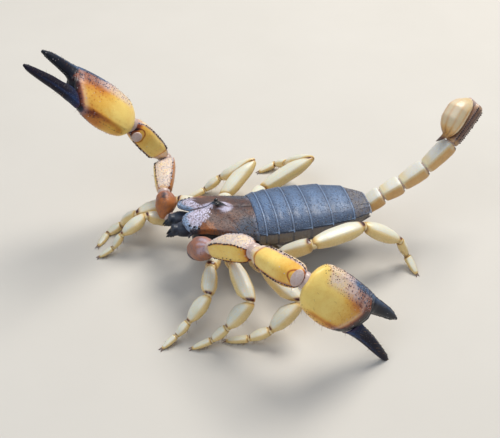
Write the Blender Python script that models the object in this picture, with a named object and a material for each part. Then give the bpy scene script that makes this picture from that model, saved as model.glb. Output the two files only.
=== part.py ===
"""Desert scorpion, a still life-size model: big crab-like claws, one raised and one let down,
slate-grey plated back, pale legs and a pale tail carried low with the telson folded over its end.
Head to -X, tail to +X, the animal's right side to +Y, floor at z = 0. Sizes below are in millimetres,
with x = 0 at the rear of the carapace until the last step, which centres the model on its base."""

import math

import bmesh
import bpy
from mathutils import Matrix, Vector

MM = 0.001
GAP = 0.3                 # clearance between neighbouring parts at a joint

# --- trunk ---------------------------------------------------------------------------------
CARAPACE_LEN = 14.6
CARAPACE_TOP_REAR = 13.3  # height of the back above the floor at the rear of the carapace
CARAPACE_TOP_FRONT = 15.6
CARAPACE_HALF_REAR = 6.5
CARAPACE_HALF_FRONT = 5.0
CARAPACE_DROP = 2.4       # from the crest of the back to the rim of the shield, at the rear
CARAPACE_DROP_FRONT = 1.1
CARAPACE_DIP = (0.72, 0.9)  # share of the length where the crest starts to dip to the front, and how far
CARAPACE_SKIRT = 1.5      # depth of the turned-down rim
NOTCH_DEPTH = 1.7         # notch between the two frontal lobes
EYE_X = -7.8              # median eye tubercle
EYE_RADIUS = 0.42
TUBERCLE_HEIGHT = 1.15
TERGITE_LENGTHS = (1.5, 2.4, 3.1, 3.7, 4.5, 4.9, 3.6)
TERGITE_HALF_WIDTHS = (6.5, 6.8, 7.0, 7.1, 7.0, 6.6, 5.5, 3.2)
TRUNK_TOPS = (13.1, 13.3, 13.5, 13.5, 13.4, 13.0, 12.1, 10.5)
TRUNK_BOTTOMS = (5.2, 5.0, 4.8, 4.7, 4.8, 5.2, 5.9, 7.0)

# --- tail ----------------------------------------------------------------------------------
TAIL_BASE = (23.75, 0.0, 8.6)
TAIL_LENGTHS = (4.1, 4.6, 5.9, 7.0, 9.4)
TAIL_HEADINGS = (0, 2, 2, 6, 30)
TAIL_PITCHES = (36, 25, 33, 43, 37)
TAIL_HALF_WIDTHS = (1.85, 1.8, 1.78, 1.75, 1.6)
TAIL_HALF_HEIGHTS = (1.7, 1.68, 1.68, 1.65, 1.45)
VESICLE_LEN = 8.7
VESICLE_HALF = 2.4
STING_LEN = 2.3
TELSON_HEADING = 212
TELSON_PITCH = -42
TELSON_START = (-2.9, -0.7, 3.2)   # from the end of the last ring

# --- legs: femur, patella, tibia, basitarsus, telotarsus -------------------------------------
LEG_LENGTHS = {
    1: (6.2, 6.5, 6.3, 3.5, 3.4),
    2: (7.8, 8.8, 6.8, 3.9, 4.0),
    3: (7.9, 9.8, 7.7, 4.4, 4.4),
    4: (9.0, 12.1, 9.1, 4.8, 4.3),
}
LEG_DEPTHS = {1: 1.17, 2: 1.32, 3: 1.4, 4: 1.45}    # half of a leg's depth at the patella
LEG_FLATTEN = 1.25                                 # a leg's breadth over its depth
TROCHANTER_LEN = 1.9
FOOT_HEIGHT = 0.3                                  # centre of a foot's end above the floor
LEG_HIPS = {1: (-9.4, 6.8, 6.7), 2: (-7.0, 8.3, 7.5), 3: (-2.8, 8.8, 7.2), 4: (1.6, 8.8, 6.9)}
# headings and pitches in degrees, hip outwards; the last pitch lets the foot down to the floor
LEG_POSES = {
    "left_1": ((-115, -106, -160, -160, -157), (27, -12, -44, -38)),
    "left_2": ((-98, -82, -175, -179, 175), (36, -17, -49, -40)),
    "left_3": ((-86, -61, -171, 170, 160), (29, -15, -43, -25)),
    "left_4": ((-29, 16, -5, -3, -78), (32, -2, -31, -66)),
    "right_1": ((161, -177, -175, -167, -172), (-13, 24, -33, -52)),
    "right_2": ((150, -177, 132, -160, -124), (3, -10, -47, -16)),
    "right_3": ((93, 37, 161, -174, -164), (-25, 22, -31, -33)),
    "right_4": ((62, 8, 111, 113, -170), (-18, 24, -34, -32)),
}

# --- pedipalps -------------------------------------------------------------------------------
PALP_FEMUR = 11.5
PALP_PATELLA = 13.5
MANUS_LEN = 13.9          # base joint to the hinge of the movable finger
HINGE_OFFSET = 2.7
PALP_START = {"left": (-11.5, -11.4, 14.0), "right": (-16.7, 10.2, 12.0)}   # trochanter to femur
PALP_ROOT = {"left": (-14.1, -7.3, 10.6), "right": (-16.6, 6.2, 8.9)}      # coxa to trochanter
PALP_HIP = {"left": (-13.0, -5.0, 7.6), "right": (-13.2, 5.0, 7.6)}
PALP_POSES = {            # heading, pitch, roll of femur, patella and claw; opening of the claw
    "left": ((-53, 25, 0), (-64, 10, 0), (-1, -45.5, 59), 11.5),
    "right": ((79, 2, 0), (201, 58, 0), (184, 46, -28), 3.5),
}
# claw outline: distance from its base, inner and outer edge, half thickness
MANUS_OUTLINE = (
    (0.2, -1.2, 1.5, 1.1), (0.9, -3.0, 3.0, 1.9), (2.3, -4.4, 4.2, 2.5), (4.5, -4.9, 4.8, 2.9),
    (7.5, -5.1, 5.1, 3.0), (11.0, -4.9, 4.8, 2.6), (13.3, -4.6, 4.3, 1.8), (13.9, -4.5, 3.9, 1.4),
)
FIXED_FINGER = (
    (16.2, -4.4, -0.9, 1.15), (17.1, -4.35, -1.5, 1.0), (18.6, -4.3, -1.85, 0.9), (20.3, -4.2, -2.2, 0.8),
    (22.0, -3.9, -2.55, 0.6), (23.3, -3.5, -2.9, 0.35),
)
MOVABLE_FINGER = (        # distance, offset across, half width, half thickness
    (0.0, -0.2, 1.7, 1.2), (1.1, -0.5, 1.5, 1.25), (3.7, -0.75, 1.25, 1.0), (6.5, -0.9, 1.1, 0.9),
    (9.3, -0.9, 0.85, 0.7), (11.2, -0.9, 0.6, 0.5), (12.2, -1.0, 0.27, 0.27),
)
CLAW_SLANT = 0.6          # the claw's open end slants back towards the movable finger's side

# --- materials -------------------------------------------------------------------------------
COLOURS = {
    "shell_slate": ((0.075, 0.095, 0.13), 0.5),
    "shell_brown": ((0.16, 0.06, 0.025), 0.42),
    "claw_amber": ((0.62, 0.32, 0.08), 0.35),
    "finger_black": ((0.012, 0.012, 0.016), 0.3),
    "leg_cream": ((0.66, 0.58, 0.33), 0.38),
    "tail_cream": ((0.62, 0.48, 0.24), 0.38),
    "tail_brown": ((0.2, 0.1, 0.05), 0.42),
    "eye_black": ((0.01, 0.01, 0.012), 0.12),
    "comb_pale": ((0.55, 0.45, 0.33), 0.5),
}


def material(slot):
    found = bpy.data.materials.get(slot)
    if found:
        return found
    colour, roughness = COLOURS[slot]
    made = bpy.data.materials.new(slot)
    made.use_nodes = True
    shader = made.node_tree.nodes["Principled BSDF"]
    shader.inputs["Base Color"].default_value = (*colour, 1.0)
    shader.inputs["Roughness"].default_value = roughness
    shader.inputs["Metallic"].default_value = 0.0
    return made


def body(name, points, faces, slot):
    """One closed body from points in millimetres."""
    mesh = bpy.data.meshes.new(name)
    mesh.from_pydata([Vector(p) * MM for p in points], [], faces)
    work = bmesh.new()
    work.from_mesh(mesh)
    bmesh.ops.recalc_face_normals(work, faces=work.faces)
    if work.calc_volume(signed=True) < 0:
        bmesh.ops.reverse_faces(work, faces=work.faces)
    work.to_mesh(mesh)
    work.free()
    mesh.materials.append(material(slot))
    for face in mesh.polygons:
        face.use_smooth = True
    made = bpy.data.objects.new(name, mesh)
    bpy.context.scene.collection.objects.link(made)
    return made


def frame(heading, pitch, roll=0.0):
    """Forward, side and upper directions of a limb segment."""
    h, p, r = (math.radians(a) for a in (heading, pitch, roll))
    out = Vector((math.cos(h), math.sin(h), 0.0))
    up = Vector((0.0, 0.0, 1.0))
    forward = out * math.cos(p) + up * math.sin(p)
    upper = up * math.cos(p) - out * math.sin(p)
    side = upper.cross(forward)
    return (
        forward,
        side * math.cos(r) + upper * math.sin(r),
        upper * math.cos(r) - side * math.sin(r),
    )


def ring(centre, side, upper, half_side, half_upper, count, square=2.0, form=None):
    """Closed outline round a centre; form(angle) swells or pinches it for keels."""
    points = []
    for i in range(count):
        a = 2 * math.pi * (i + 0.5) / count
        c, s = math.cos(a), math.sin(a)
        x = math.copysign(abs(c) ** (2 / square), c)
        y = math.copysign(abs(s) ** (2 / square), s)
        k = form(a) if form else 1.0
        points.append(centre + side * (x * half_side * k) + upper * (y * half_upper * k))
    return points


def skin(rings):
    """Points and faces of a closed body through equal rings, capped at both ends."""
    count = len(rings[0])
    points = [p for r in rings for p in r]
    faces = [tuple(range(count))]
    for j in range(len(rings) - 1):
        for i in range(count):
            n = (i + 1) % count
            faces.append((j * count + i, j * count + n, (j + 1) * count + n, (j + 1) * count + i))
    faces.append(tuple(reversed(range((len(rings) - 1) * count, len(rings) * count))))
    return points, faces


def mitre(forward, other):
    """How far a lateral offset slides along a segment to lie on the joint plane shared with
    another segment's direction, and the clearance kept on this side of the plane."""
    if other is None:
        return Vector(), 0.0
    normal = (forward + other).normalized()
    tilt = max(forward.dot(normal), 0.45)
    return (forward * forward.dot(normal) - normal) / tilt, GAP / 2 / tilt


def segment(start, axes, length, stations, count, before=None, after=None, square=2.0, form=None):
    """Rings of one segment: stations give a fraction of its length, side and upper offset and
    half sizes; the ends lean onto the joint planes shared with the segments before and after."""
    forward, side, upper = axes
    start = Vector(start)
    slide_0, clear_0 = mitre(forward, before)
    slide_1, clear_1 = mitre(forward, after)
    widest = max(max(s[3], s[4]) for s in stations)
    fade_0 = max(1.5 * widest * slide_0.length, 0.01)
    fade_1 = max(1.5 * widest * slide_1.length, 0.01)
    rings = []
    for f, a, b, hs, hu in stations:
        d = clear_0 + (length - clear_0 - clear_1) * f
        centre = start + forward * d
        points = ring(centre + side * a + upper * b, side, upper, hs, hu, count, square, form)
        lean = slide_0 * max(0.0, 1 - (d - clear_0) / fade_0)
        lean = lean + slide_1 * max(0.0, 1 - (length - clear_1 - d) / fade_1)
        rings.append([p + forward * (p - centre).dot(lean) for p in points])
    return rings


def limb(name, start, axes, length, stations, slot, count=10, before=None, after=None, square=2.0,
         form=None):
    """A whole segment as a body of its own."""
    rings = segment(start, axes, length, stations, count, before, after, square, form)
    return body(name, *skin(rings), slot)


# --- trunk -----------------------------------------------------------------------------------
def carapace():
    """Shield with two frontal lobes, a median furrow and a raised eye tubercle."""
    rows, columns = 11, 16

    def crest(u):
        dip_from, dip = CARAPACE_DIP
        fall = dip * max(0.0, u - dip_from) / (1 - dip_from)
        return CARAPACE_TOP_REAR + (CARAPACE_TOP_FRONT - CARAPACE_TOP_REAR) * u - fall

    def drop(u):
        return CARAPACE_DROP + (CARAPACE_DROP_FRONT - CARAPACE_DROP) * u

    def top(u, v):
        x_front = -CARAPACE_LEN - 0.9 * math.exp(-((abs(v) - 0.5) / 0.25) ** 2) * 0.6
        x_front += NOTCH_DEPTH * math.exp(-(v / 0.2) ** 2) + 1.6 * max(0.0, abs(v) - 0.75) ** 2 * 8
        x = GAP / -2 + (x_front - GAP / -2) * u
        half = CARAPACE_HALF_REAR + (CARAPACE_HALF_FRONT - CARAPACE_HALF_REAR) * u ** 1.4
        z = crest(u) - drop(u) * abs(v) ** 2.2
        z -= 0.28 * math.exp(-(v / 0.09) ** 2) * (1 if abs(x - EYE_X) > 1.6 else 0.25)
        z += TUBERCLE_HEIGHT * math.exp(-((x - EYE_X) / 1.5) ** 2 - (v * half / 1.35) ** 2)
        return Vector((x, v * half, z))

    points, faces = [], []
    for level in (0, 1):
        for i in range(rows):
            for j in range(columns):
                v = math.sin(math.pi / 2 * (2 * j / (columns - 1) - 1))
                p = top(i / (rows - 1), v)
                if level:
                    u = i / (rows - 1)
                    skirt = CARAPACE_SKIRT * (1 - 0.45 * u)
                    open_front = 0.4 * max(0.0, u - 0.6) / 0.4 * (1 - abs(v) ** 3)
                    low = crest(u) - (drop(u) + skirt) * (1 - open_front)
                    p = Vector((p.x * 0.985 - 0.1, p.y * 0.95, low))
                points.append(p)
    half = rows * columns
    for i in range(rows - 1):
        for j in range(columns - 1):
            a = i * columns + j
            faces.append((a, a + 1, a + columns + 1, a + columns))
            faces.append((half + a, half + a + columns, half + a + columns + 1, half + a + 1))
    edge = [j for j in range(columns)]
    edge += [i * columns + columns - 1 for i in range(1, rows)]
    edge += [(rows - 1) * columns + j for j in range(columns - 2, -1, -1)]
    edge += [i * columns for i in range(rows - 2, 0, -1)]
    for k, a in enumerate(edge):
        b = edge[(k + 1) % len(edge)]
        faces.append((a, half + a, half + b, b))
    body("carapace", points, faces, "shell_brown")


def crest_at(x):
    return CARAPACE_TOP_REAR + (CARAPACE_TOP_FRONT - CARAPACE_TOP_REAR) * -x / CARAPACE_LEN


def median_eyes():
    for name, sign in (("eye_left", -1), ("eye_right", 1)):
        centre = Vector((EYE_X, sign * 1.0, crest_at(EYE_X) + 0.78 * TUBERCLE_HEIGHT + 0.34))
        out = Vector((0.0, sign * 0.75, 0.66))
        side = Vector((1.0, 0.0, 0.0))
        upper = out.cross(side)
        rings = [
            ring(centre + out * (EYE_RADIUS * h), side, upper, EYE_RADIUS * w, EYE_RADIUS * w, 8)
            for h, w in ((0.0, 0.8), (0.35, 0.95), (0.75, 0.7), (1.0, 0.3))
        ]
        body(name, *skin(rings), "eye_black")


def prosoma_underside():
    """Coxae and sternum under the shield, one mass the legs spring from."""
    stations = (            # x, half width, bottom, top
        (-12.7, 2.6, 6.8, 12.3), (-12.0, 3.6, 6.2, 12.3), (-9.8, 3.9, 5.5, 11.9), (-8.2, 4.5, 5.2, 11.5),
        (-6.9, 5.8, 5.1, 11.0), (-4.0, 6.2, 5.0, 10.2), (-0.8, 6.2, 5.0, 9.2), (-0.2, 5.8, 5.3, 8.8),
    )
    rings = []
    for x, half, low, high in stations:
        centre = Vector((x, 0.0, (low + high) / 2))
        rings.append(ring(centre, Vector((0, 1, 0)), Vector((0, 0, 1)), half, (high - low) / 2, 16, 3.0))
    body("prosoma_underside", *skin(rings), "leg_cream")


def mesosoma():
    """Seven plated rings; each back plate rises a little to its rear edge."""
    x = 0.0
    count = 22
    for n, length in enumerate(TERGITE_LENGTHS):
        rings = []
        for f, lift in ((0.0, -0.22), (0.3, -0.02), (0.8, 0.1), (1.0, -0.05)):
            half = TERGITE_HALF_WIDTHS[n] + (TERGITE_HALF_WIDTHS[n + 1] - TERGITE_HALF_WIDTHS[n]) * f
            high = TRUNK_TOPS[n] + (TRUNK_TOPS[n + 1] - TRUNK_TOPS[n]) * f + lift
            low = TRUNK_BOTTOMS[n] + (TRUNK_BOTTOMS[n + 1] - TRUNK_BOTTOMS[n]) * f - lift
            rim = low + (high - low) * 0.66
            at = x + GAP / 2 + (length - GAP) * f
            points = []
            for i in range(count):
                a = 2 * math.pi * i / count
                c, s = math.cos(a), math.sin(a)
                wide = half * math.copysign(abs(c) ** 0.72, c)
                if s >= 0:
                    z = rim + (high - rim) * s ** 1.15
                else:
                    z = rim - (rim - low) * abs(s) ** 0.75
                    wide *= 1.0 - 0.12 * abs(s)
                points.append(Vector((at, wide, z)))
            rings.append(points)
        body(f"mesosoma_{n + 1}", *skin(rings), "shell_slate")
        x += length


def chelicerae():
    """Pair of stout jaws ahead of the shield, each ending in a two-toothed nipper."""
    for name, sign in (("chelicera_left", -1), ("chelicera_right", 1)):
        axes = frame(180, 12)
        stations = ((0.0, 0, 0, 1.25, 1.1), (0.2, 0, 0, 1.45, 1.35), (0.5, 0, 0, 1.45, 1.4),
                    (0.7, 0, -0.1, 1.2, 1.2), (0.88, 0, -0.5, 0.75, 0.8), (1.0, 0, -1.0, 0.3, 0.35))
        limb(name, (-13.4, sign * 1.65, 11.0), axes, 5.0, stations, "shell_brown", 10, square=2.4)


def pectines():
    """Comb organs under the belly: a spine with a row of teeth along its rear edge."""
    teeth, thick, root, tip = 12, 0.55, 1.2, 6.0
    for name, sign in (("pecten_left", -1), ("pecten_right", 1)):
        outline = [Vector((1.6, sign * root)), Vector((2.2, sign * tip)), Vector((3.0, sign * (tip + 0.3)))]
        for i in range(teeth):
            y0 = tip - (tip - root - 0.3) * i / teeth
            step = (tip - root - 0.3) / teeth
            back = 3.3 - 0.25 * i / teeth
            corners = ((1.0, 0.1), (1.0, 0.6), (0.0, 0.62), (0.0, 0.98))
            outline += [Vector((back + u, sign * (y0 - v * step))) for u, v in corners]
        low = 3.75
        points = [Vector((p.x, p.y, low + 0.06 * abs(p.y))) for p in outline]
        points += [Vector((p.x, p.y, low + thick + 0.06 * abs(p.y))) for p in outline]
        n = len(outline)
        faces = [tuple(range(n)), tuple(range(2 * n - 1, n - 1, -1))]
        faces += [(i, n + i, n + (i + 1) % n, (i + 1) % n) for i in range(n)]
        body(name, points, faces, "comb_pale")


# --- tail ------------------------------------------------------------------------------------
def keeled(a):
    """Cross-section of a tail ring: four keels, the back between them slightly hollow."""
    s = math.sin(a)
    corner = abs(math.sin(2 * a)) ** 2
    return 0.93 + 0.13 * corner - (0.06 if s > 0.9 else 0.0)


def metasoma():
    at = Vector(TAIL_BASE)
    poses = [frame(h, p) for h, p in zip(TAIL_HEADINGS, TAIL_PITCHES)]
    for n, length in enumerate(TAIL_LENGTHS):
        w, h = TAIL_HALF_WIDTHS[n], TAIL_HALF_HEIGHTS[n]
        stations = [(0.0, 0, 0, w * 0.7, h * 0.7), (0.08, 0, 0, w * 0.87, h * 0.86)]
        stations += [(0.28, 0, 0, w, h), (0.55, 0, 0, w * 1.07, h * 1.07), (0.8, 0, 0, w * 1.06, h * 1.07)]
        stations += [(0.94, 0, 0, w * 0.93, h * 0.92), (1.0, 0, 0, w * 0.7, h * 0.7)]
        slot = "tail_brown" if n == 4 else "tail_cream"
        before = poses[n - 1][0] if n else Vector((1.0, 0.0, 0.0))
        after = poses[n + 1][0] if n < 4 else None
        limb(f"metasoma_{n + 1}", at, poses[n], length, stations, slot, 12, before, after, 2.3, keeled)
        at = at + poses[n][0] * length
    return at


def telson(at):
    """Swollen vesicle folded back over the last ring, and the dark curved sting."""
    axes = frame(TELSON_HEADING, TELSON_PITCH)
    start = at + Vector(TELSON_START)
    r = VESICLE_HALF
    shape = ((0.0, -2.1, 0.3), (0.07, -1.6, 0.52), (0.2, -0.7, 0.82), (0.4, 0.0, 0.98), (0.62, 0.0, 0.99),
             (0.82, -0.4, 0.84), (0.95, -0.9, 0.55), (1.0, -1.1, 0.36))
    stations = [(f, 0, b, r * a, r * a) for f, b, a in shape]
    limb("telson_vesicle", start, axes, VESICLE_LEN, stations, "tail_cream", 12)
    tip = start + axes[0] * (VESICLE_LEN + GAP)
    needle = [(f, 0, 2.5 * f ** 1.25 - 1.1, half, half) for f, half in
              ((0, 0.72), (0.25, 0.58), (0.5, 0.45), (0.75, 0.33), (1, 0.25))]
    limb("sting", tip, axes, STING_LEN, needle, "tail_brown", 8)


# --- legs ------------------------------------------------------------------------------------
def leg(side, number):
    sign = -1 if side == "left" else 1
    key = f"{side}_{number}"
    headings, pitches = LEG_POSES[key]
    lengths = LEG_LENGTHS[number]
    depth = LEG_DEPTHS[number]
    broad = depth * LEG_FLATTEN
    count = 8
    hx, hy, hz = LEG_HIPS[number]
    hip = Vector((hx, sign * hy, hz))
    points = [hip]
    poses = []
    for n in range(5):
        last = n == 4
        pitch = math.degrees(math.asin((FOOT_HEIGHT - points[-1].z) / lengths[4])) if last else pitches[n]
        poses.append(frame(headings[n], pitch))
        points.append(points[-1] + poses[-1][0] * lengths[n])

    # trochanter: a short round stub out of the body, then the femur in the same piece
    root_pose = frame(90 * sign, 6)
    root = hip - root_pose[0] * TROCHANTER_LEN
    stub = [(0.0, 0, 0, 0.85, 0.9), (0.2, 0, 0, 1.15, 1.15), (0.75, 0, 0, 1.1, 1.1)]
    rings = segment(root, root_pose, TROCHANTER_LEN, stub, count, None, poses[0][0])
    stations = [(0.12, 0, 0, 0.85, 0.95), (0.35, 0, 0, broad * 0.82, depth * 1.02),
                (0.7, 0, 0, broad * 0.88, depth * 1.1), (0.93, 0, 0, broad * 0.8, depth * 0.95),
                (1.0, 0, 0, broad * 0.55, depth * 0.65)]
    rings += segment(hip, poses[0], lengths[0], stations, count, root_pose[0], poses[1][0])
    body(f"leg_{key}_femur", *skin(rings), "leg_cream")

    stations = [(f, 0, 0, broad * w, depth * k) for f, k, w in
                ((0.0, 0.6, 0.5), (0.08, 0.85, 0.74), (0.4, 1.12, 1.04), (0.68, 1.12, 1.06), (0.9, 0.86, 0.78),
                 (1.0, 0.58, 0.5))]
    limb(f"leg_{key}_patella", points[1], poses[1], lengths[1], stations, "leg_cream", count,
         poses[0][0], poses[2][0])

    sizes = (
        ((0.0, 0.55, 0.46), (0.12, 0.85, 0.76), (0.42, 1.08, 1.04), (0.72, 0.95, 0.88), (0.97, 0.5, 0.42)),
        ((0.08, 0.6, 0.52), (0.45, 0.68, 0.64), (0.93, 0.46, 0.4)),
        ((0.1, 0.5, 0.44), (0.5, 0.46, 0.42), (0.86, 0.34, 0.28)),
    )
    rings = []
    for n in range(3):
        stations = [(f, 0, 0, broad * w * 1.1, depth * k) for f, k, w in sizes[n]]
        before = poses[n + 1][0]
        after = poses[n + 3][0] if n < 2 else None
        rings += segment(points[n + 2], poses[n + 2], lengths[n + 2], stations, count, before, after)
    pts, faces = skin(rings)
    last = len(pts) - count
    faces.pop()
    forward, sideways, upper = poses[4]
    end = points[5]
    # the two hooked claws grow from the side corners of the foot's end, a web closes the rest
    c = [last + i for i in range(count)]
    right, left = (c[7], c[0], c[1]), (c[3], c[4], c[5])
    top_corner, low_corner = c[2], c[6]
    faces += [(c[1], top_corner, c[3]), (c[5], low_corner, c[7]), (c[1], c[3], c[5], c[7])]
    for trio, s in ((right, 1), (left, -1)):
        middle = []
        for i in trio:
            middle.append(len(pts))
            pts.append(pts[i] + forward * 0.45 + sideways * (0.18 * s) + upper * 0.12)
        a, b, d = trio
        e, f, g = middle
        faces += [(a, b, f, e), (b, d, g, f), (d, a, e, g)]
        tip = len(pts)
        pts.append(end + forward * 0.35 + sideways * (0.55 * s) + upper * -0.25)
        faces += [(e, f, tip), (f, g, tip), (g, e, tip)]
    pts = [Vector((p.x, p.y, max(p.z, 0.0))) for p in pts]
    body(f"leg_{key}_foot", pts, faces, "leg_cream")


# --- pedipalps -------------------------------------------------------------------------------
def aimed(tail, head):
    """Axes and length of a segment from one point to another, upper side up."""
    way = head - tail
    heading = math.degrees(math.atan2(way.y, way.x))
    return frame(heading, math.degrees(math.asin(way.z / way.length))), way.length


def pedipalp(side):
    sign = -1 if side == "left" else 1
    femur_pose, patella_pose, claw_pose, opening = PALP_POSES[side]
    hip, root, start = (Vector(p) for p in (PALP_HIP[side], PALP_ROOT[side], PALP_START[side]))
    femur_axes, patella_axes, claw_axes = frame(*femur_pose), frame(*patella_pose), frame(*claw_pose)

    coxa_axes, reach = aimed(hip, root)
    ball_axes, ball = aimed(root, start)
    swell = ((0.0, 0.7), (0.3, 1.0), (0.75, 1.0), (1.0, 0.7))
    stations = [(f, 0, 0, 1.5 * k, 1.6 * k) for f, k in swell]
    limb(f"palp_{side}_coxa", hip, coxa_axes, reach, stations, "shell_brown", 10, None, ball_axes[0])
    swell = ((0.0, 0.5), (0.14, 0.85), (0.5, 1.08), (0.86, 0.85), (1.0, 0.5))
    stations = [(f, 0, 0, 2.1 * k, 2.2 * k) for f, k in swell]
    limb(f"palp_{side}_trochanter", root, ball_axes, ball, stations, "shell_brown", 12,
         coxa_axes[0], femur_axes[0])

    stations = [(f, 0, b, w, h) for f, b, w, h in
                ((0.0, 0, 1.0, 1.0), (0.1, 0.1, 1.6, 1.6), (0.4, 0.4, 2.1, 2.2), (0.7, 0.4, 2.3, 2.3),
                 (0.93, 0.1, 2.0, 1.8), (1.0, 0, 1.3, 1.1))]
    limb(f"palp_{side}_femur", start, femur_axes, PALP_FEMUR, stations, "claw_amber", 12,
         ball_axes[0], patella_axes[0], 2.8)
    elbow = start + femur_axes[0] * PALP_FEMUR

    stations = [(f, a * sign, 0, w, h) for f, a, w, h in
                ((0.0, 0, 1.3, 1.1), (0.08, 0, 1.7, 1.5), (0.18, 0.05, 2.0, 1.8), (0.4, 0.15, 2.4, 2.3),
                 (0.68, 0.2, 2.5, 2.4), (0.88, 0, 2.2, 2.1), (0.97, 0, 1.6, 1.5), (1.0, 0, 1.2, 1.1))]
    limb(f"palp_{side}_patella", elbow, patella_axes, PALP_PATELLA, stations, "claw_amber", 12,
         femur_axes[0], claw_axes[0], 2.7)
    wrist = elbow + patella_axes[0] * PALP_PATELLA

    forward, across, thick = claw_axes
    across = across * sign
    rings = []
    lean, clear = mitre(forward, patella_axes[0])
    slant_from, slant_over, slant_stop = 8.0, 5.3, -0.2   # along the hand, and across it, where its end slants
    finger_fade = 4.0                                     # length over which the finger's root follows it
    for d, inner, outer, half in MANUS_OUTLINE + FIXED_FINGER:
        centre = wrist + forward * (d + clear) + across * ((inner + outer) / 2)
        points = ring(centre, across, thick, (outer - inner) / 2, half, 14, 2.3)
        fade = max(0.0, 1 - d / 7.0)
        slant = CLAW_SLANT * min(1.0, max(0.0, (d - slant_from) / slant_over)) * (d < MANUS_LEN + GAP)
        shifts = [HINGE_OFFSET - max(slant_stop, (p - wrist).dot(across)) for p in points]
        rings.append([p + forward * ((p - centre).dot(lean) * fade + slant * shift)
                      for p, shift in zip(points, shifts)])
    body(f"palp_{side}_manus", *skin(rings), "claw_amber")

    hinge = wrist + forward * (MANUS_LEN + GAP + clear) + across * HINGE_OFFSET
    o = math.radians(opening)
    along = forward * math.cos(o) + across * math.sin(o)
    beside = across * math.cos(o) - forward * math.sin(o)
    rings = []
    for d, b, w, h in MOVABLE_FINGER:
        slant = (CLAW_SLANT - math.tan(o)) * max(0.0, 1 - d / finger_fade)
        points = ring(hinge + along * d + beside * b, beside, thick, w, h, 10, 2.2)
        rings.append([p - forward * (slant * (p - hinge).dot(across)) for p in points])
    pts, faces = skin(rings)
    pts = [Vector((p.x, p.y, max(p.z, 0.0))) for p in pts]
    body(f"palp_{side}_movable_finger", pts, faces, "finger_black")


def centre_on_base():
    """Put the origin at the centre of the underside of the whole model's box."""
    objects = list(bpy.data.objects)
    corners = [vertex.co for each in objects for vertex in each.data.vertices]
    low = [min(p[k] for p in corners) for k in range(3)]
    high = [max(p[k] for p in corners) for k in range(3)]
    middle = Vector(((low[0] + high[0]) / 2, (low[1] + high[1]) / 2, low[2]))
    for each in objects:
        each.data.transform(Matrix.Translation(-middle))


def main():
    for old in list(bpy.data.objects):
        bpy.data.objects.remove(old)
    carapace()
    median_eyes()
    prosoma_underside()
    mesosoma()
    chelicerae()
    pectines()
    telson(metasoma())
    for side in ("left", "right"):
        pedipalp(side)
        for number in (1, 2, 3, 4):
            leg(side, number)
    centre_on_base()


main()
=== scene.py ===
"""Looks of the life-size burrowing scorpion: shell plates, claws, legs, tail, membranes and bristles.

Sizes are in millimetres along the animal: x = 0 at the rear of the shield over the head, -x to the
jaws, +y to the animal's right, z = 0 on the floor. MM turns them into metres, and ORIGIN carries them
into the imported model's frame, where the eyes give its place."""

import math

import bpy
import numpy as np
from mathutils import Euler, Matrix, Vector


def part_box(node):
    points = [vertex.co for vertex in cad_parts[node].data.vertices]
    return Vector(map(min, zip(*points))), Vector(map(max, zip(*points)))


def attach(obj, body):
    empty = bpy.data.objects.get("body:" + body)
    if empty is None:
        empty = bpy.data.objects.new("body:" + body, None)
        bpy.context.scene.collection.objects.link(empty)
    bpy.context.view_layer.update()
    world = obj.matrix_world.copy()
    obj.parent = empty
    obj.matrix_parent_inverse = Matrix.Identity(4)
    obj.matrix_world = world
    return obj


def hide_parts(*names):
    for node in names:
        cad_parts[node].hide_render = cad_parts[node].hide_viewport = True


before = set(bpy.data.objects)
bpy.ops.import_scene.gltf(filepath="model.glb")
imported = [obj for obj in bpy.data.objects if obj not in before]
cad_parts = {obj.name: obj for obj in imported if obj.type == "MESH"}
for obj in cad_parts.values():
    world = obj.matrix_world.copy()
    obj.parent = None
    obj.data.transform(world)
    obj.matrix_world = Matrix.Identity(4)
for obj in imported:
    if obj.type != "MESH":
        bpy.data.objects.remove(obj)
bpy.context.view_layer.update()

MM = 0.001
GAP = 0.3                 # clearance between neighbouring parts at a joint
STEEPEST_MITRE = 0.45     # cosine beyond which a joint's plane leans no further
BODY = "root"             # the still model is one body
SIDES = {"left": -1, "right": 1}

# --- trunk ---
CARAPACE_LEN = 14.6
CARAPACE_TOP_REAR = 13.3
CARAPACE_TOP_FRONT = 15.6
CARAPACE_HALF_REAR = 6.5
CARAPACE_HALF_FRONT = 5.0
CARAPACE_DROP = 2.4
CARAPACE_DROP_FRONT = 1.1
CARAPACE_DIP = (0.72, 0.9)
CARAPACE_SKIRT = 1.5
NOTCH_DEPTH = 1.7
EYE_X = -7.8
EYE_RADIUS = 0.42
TUBERCLE_HEIGHT = 1.15
TERGITE_LENGTHS = (1.5, 2.4, 3.1, 3.7, 4.5, 4.9, 3.6)
LAST_RING = len(TERGITE_LENGTHS) - 1
TERGITE_HALF_WIDTHS = (6.5, 6.8, 7.0, 7.1, 7.0, 6.6, 5.5, 3.2)
WIDEST_AT = 0.66          # share of the trunk's height at which it is widest
TRUNK_TOPS = (13.1, 13.3, 13.5, 13.5, 13.4, 13.0, 12.1, 10.5)
TRUNK_BOTTOMS = (5.2, 5.0, 4.8, 4.7, 4.8, 5.2, 5.9, 7.0)

# --- tail ---
TAIL_BASE = (23.75, 0.0, 8.6)
TAIL_LENGTHS = (4.1, 4.6, 5.9, 7.0, 9.4)
TAIL_HEADINGS = (0, 2, 2, 6, 30)
TAIL_PITCHES = (36, 25, 33, 43, 37)
TAIL_HALF_WIDTHS = (1.85, 1.8, 1.78, 1.75, 1.6)
TAIL_HALF_HEIGHTS = (1.7, 1.68, 1.68, 1.65, 1.45)
VESICLE_LEN = 8.7
VESICLE_HALF = 2.4
STING_LEN = 2.3
TELSON_HEADING = 212
TELSON_PITCH = -42
TELSON_START = (-2.9, -0.7, 3.2)

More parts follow.
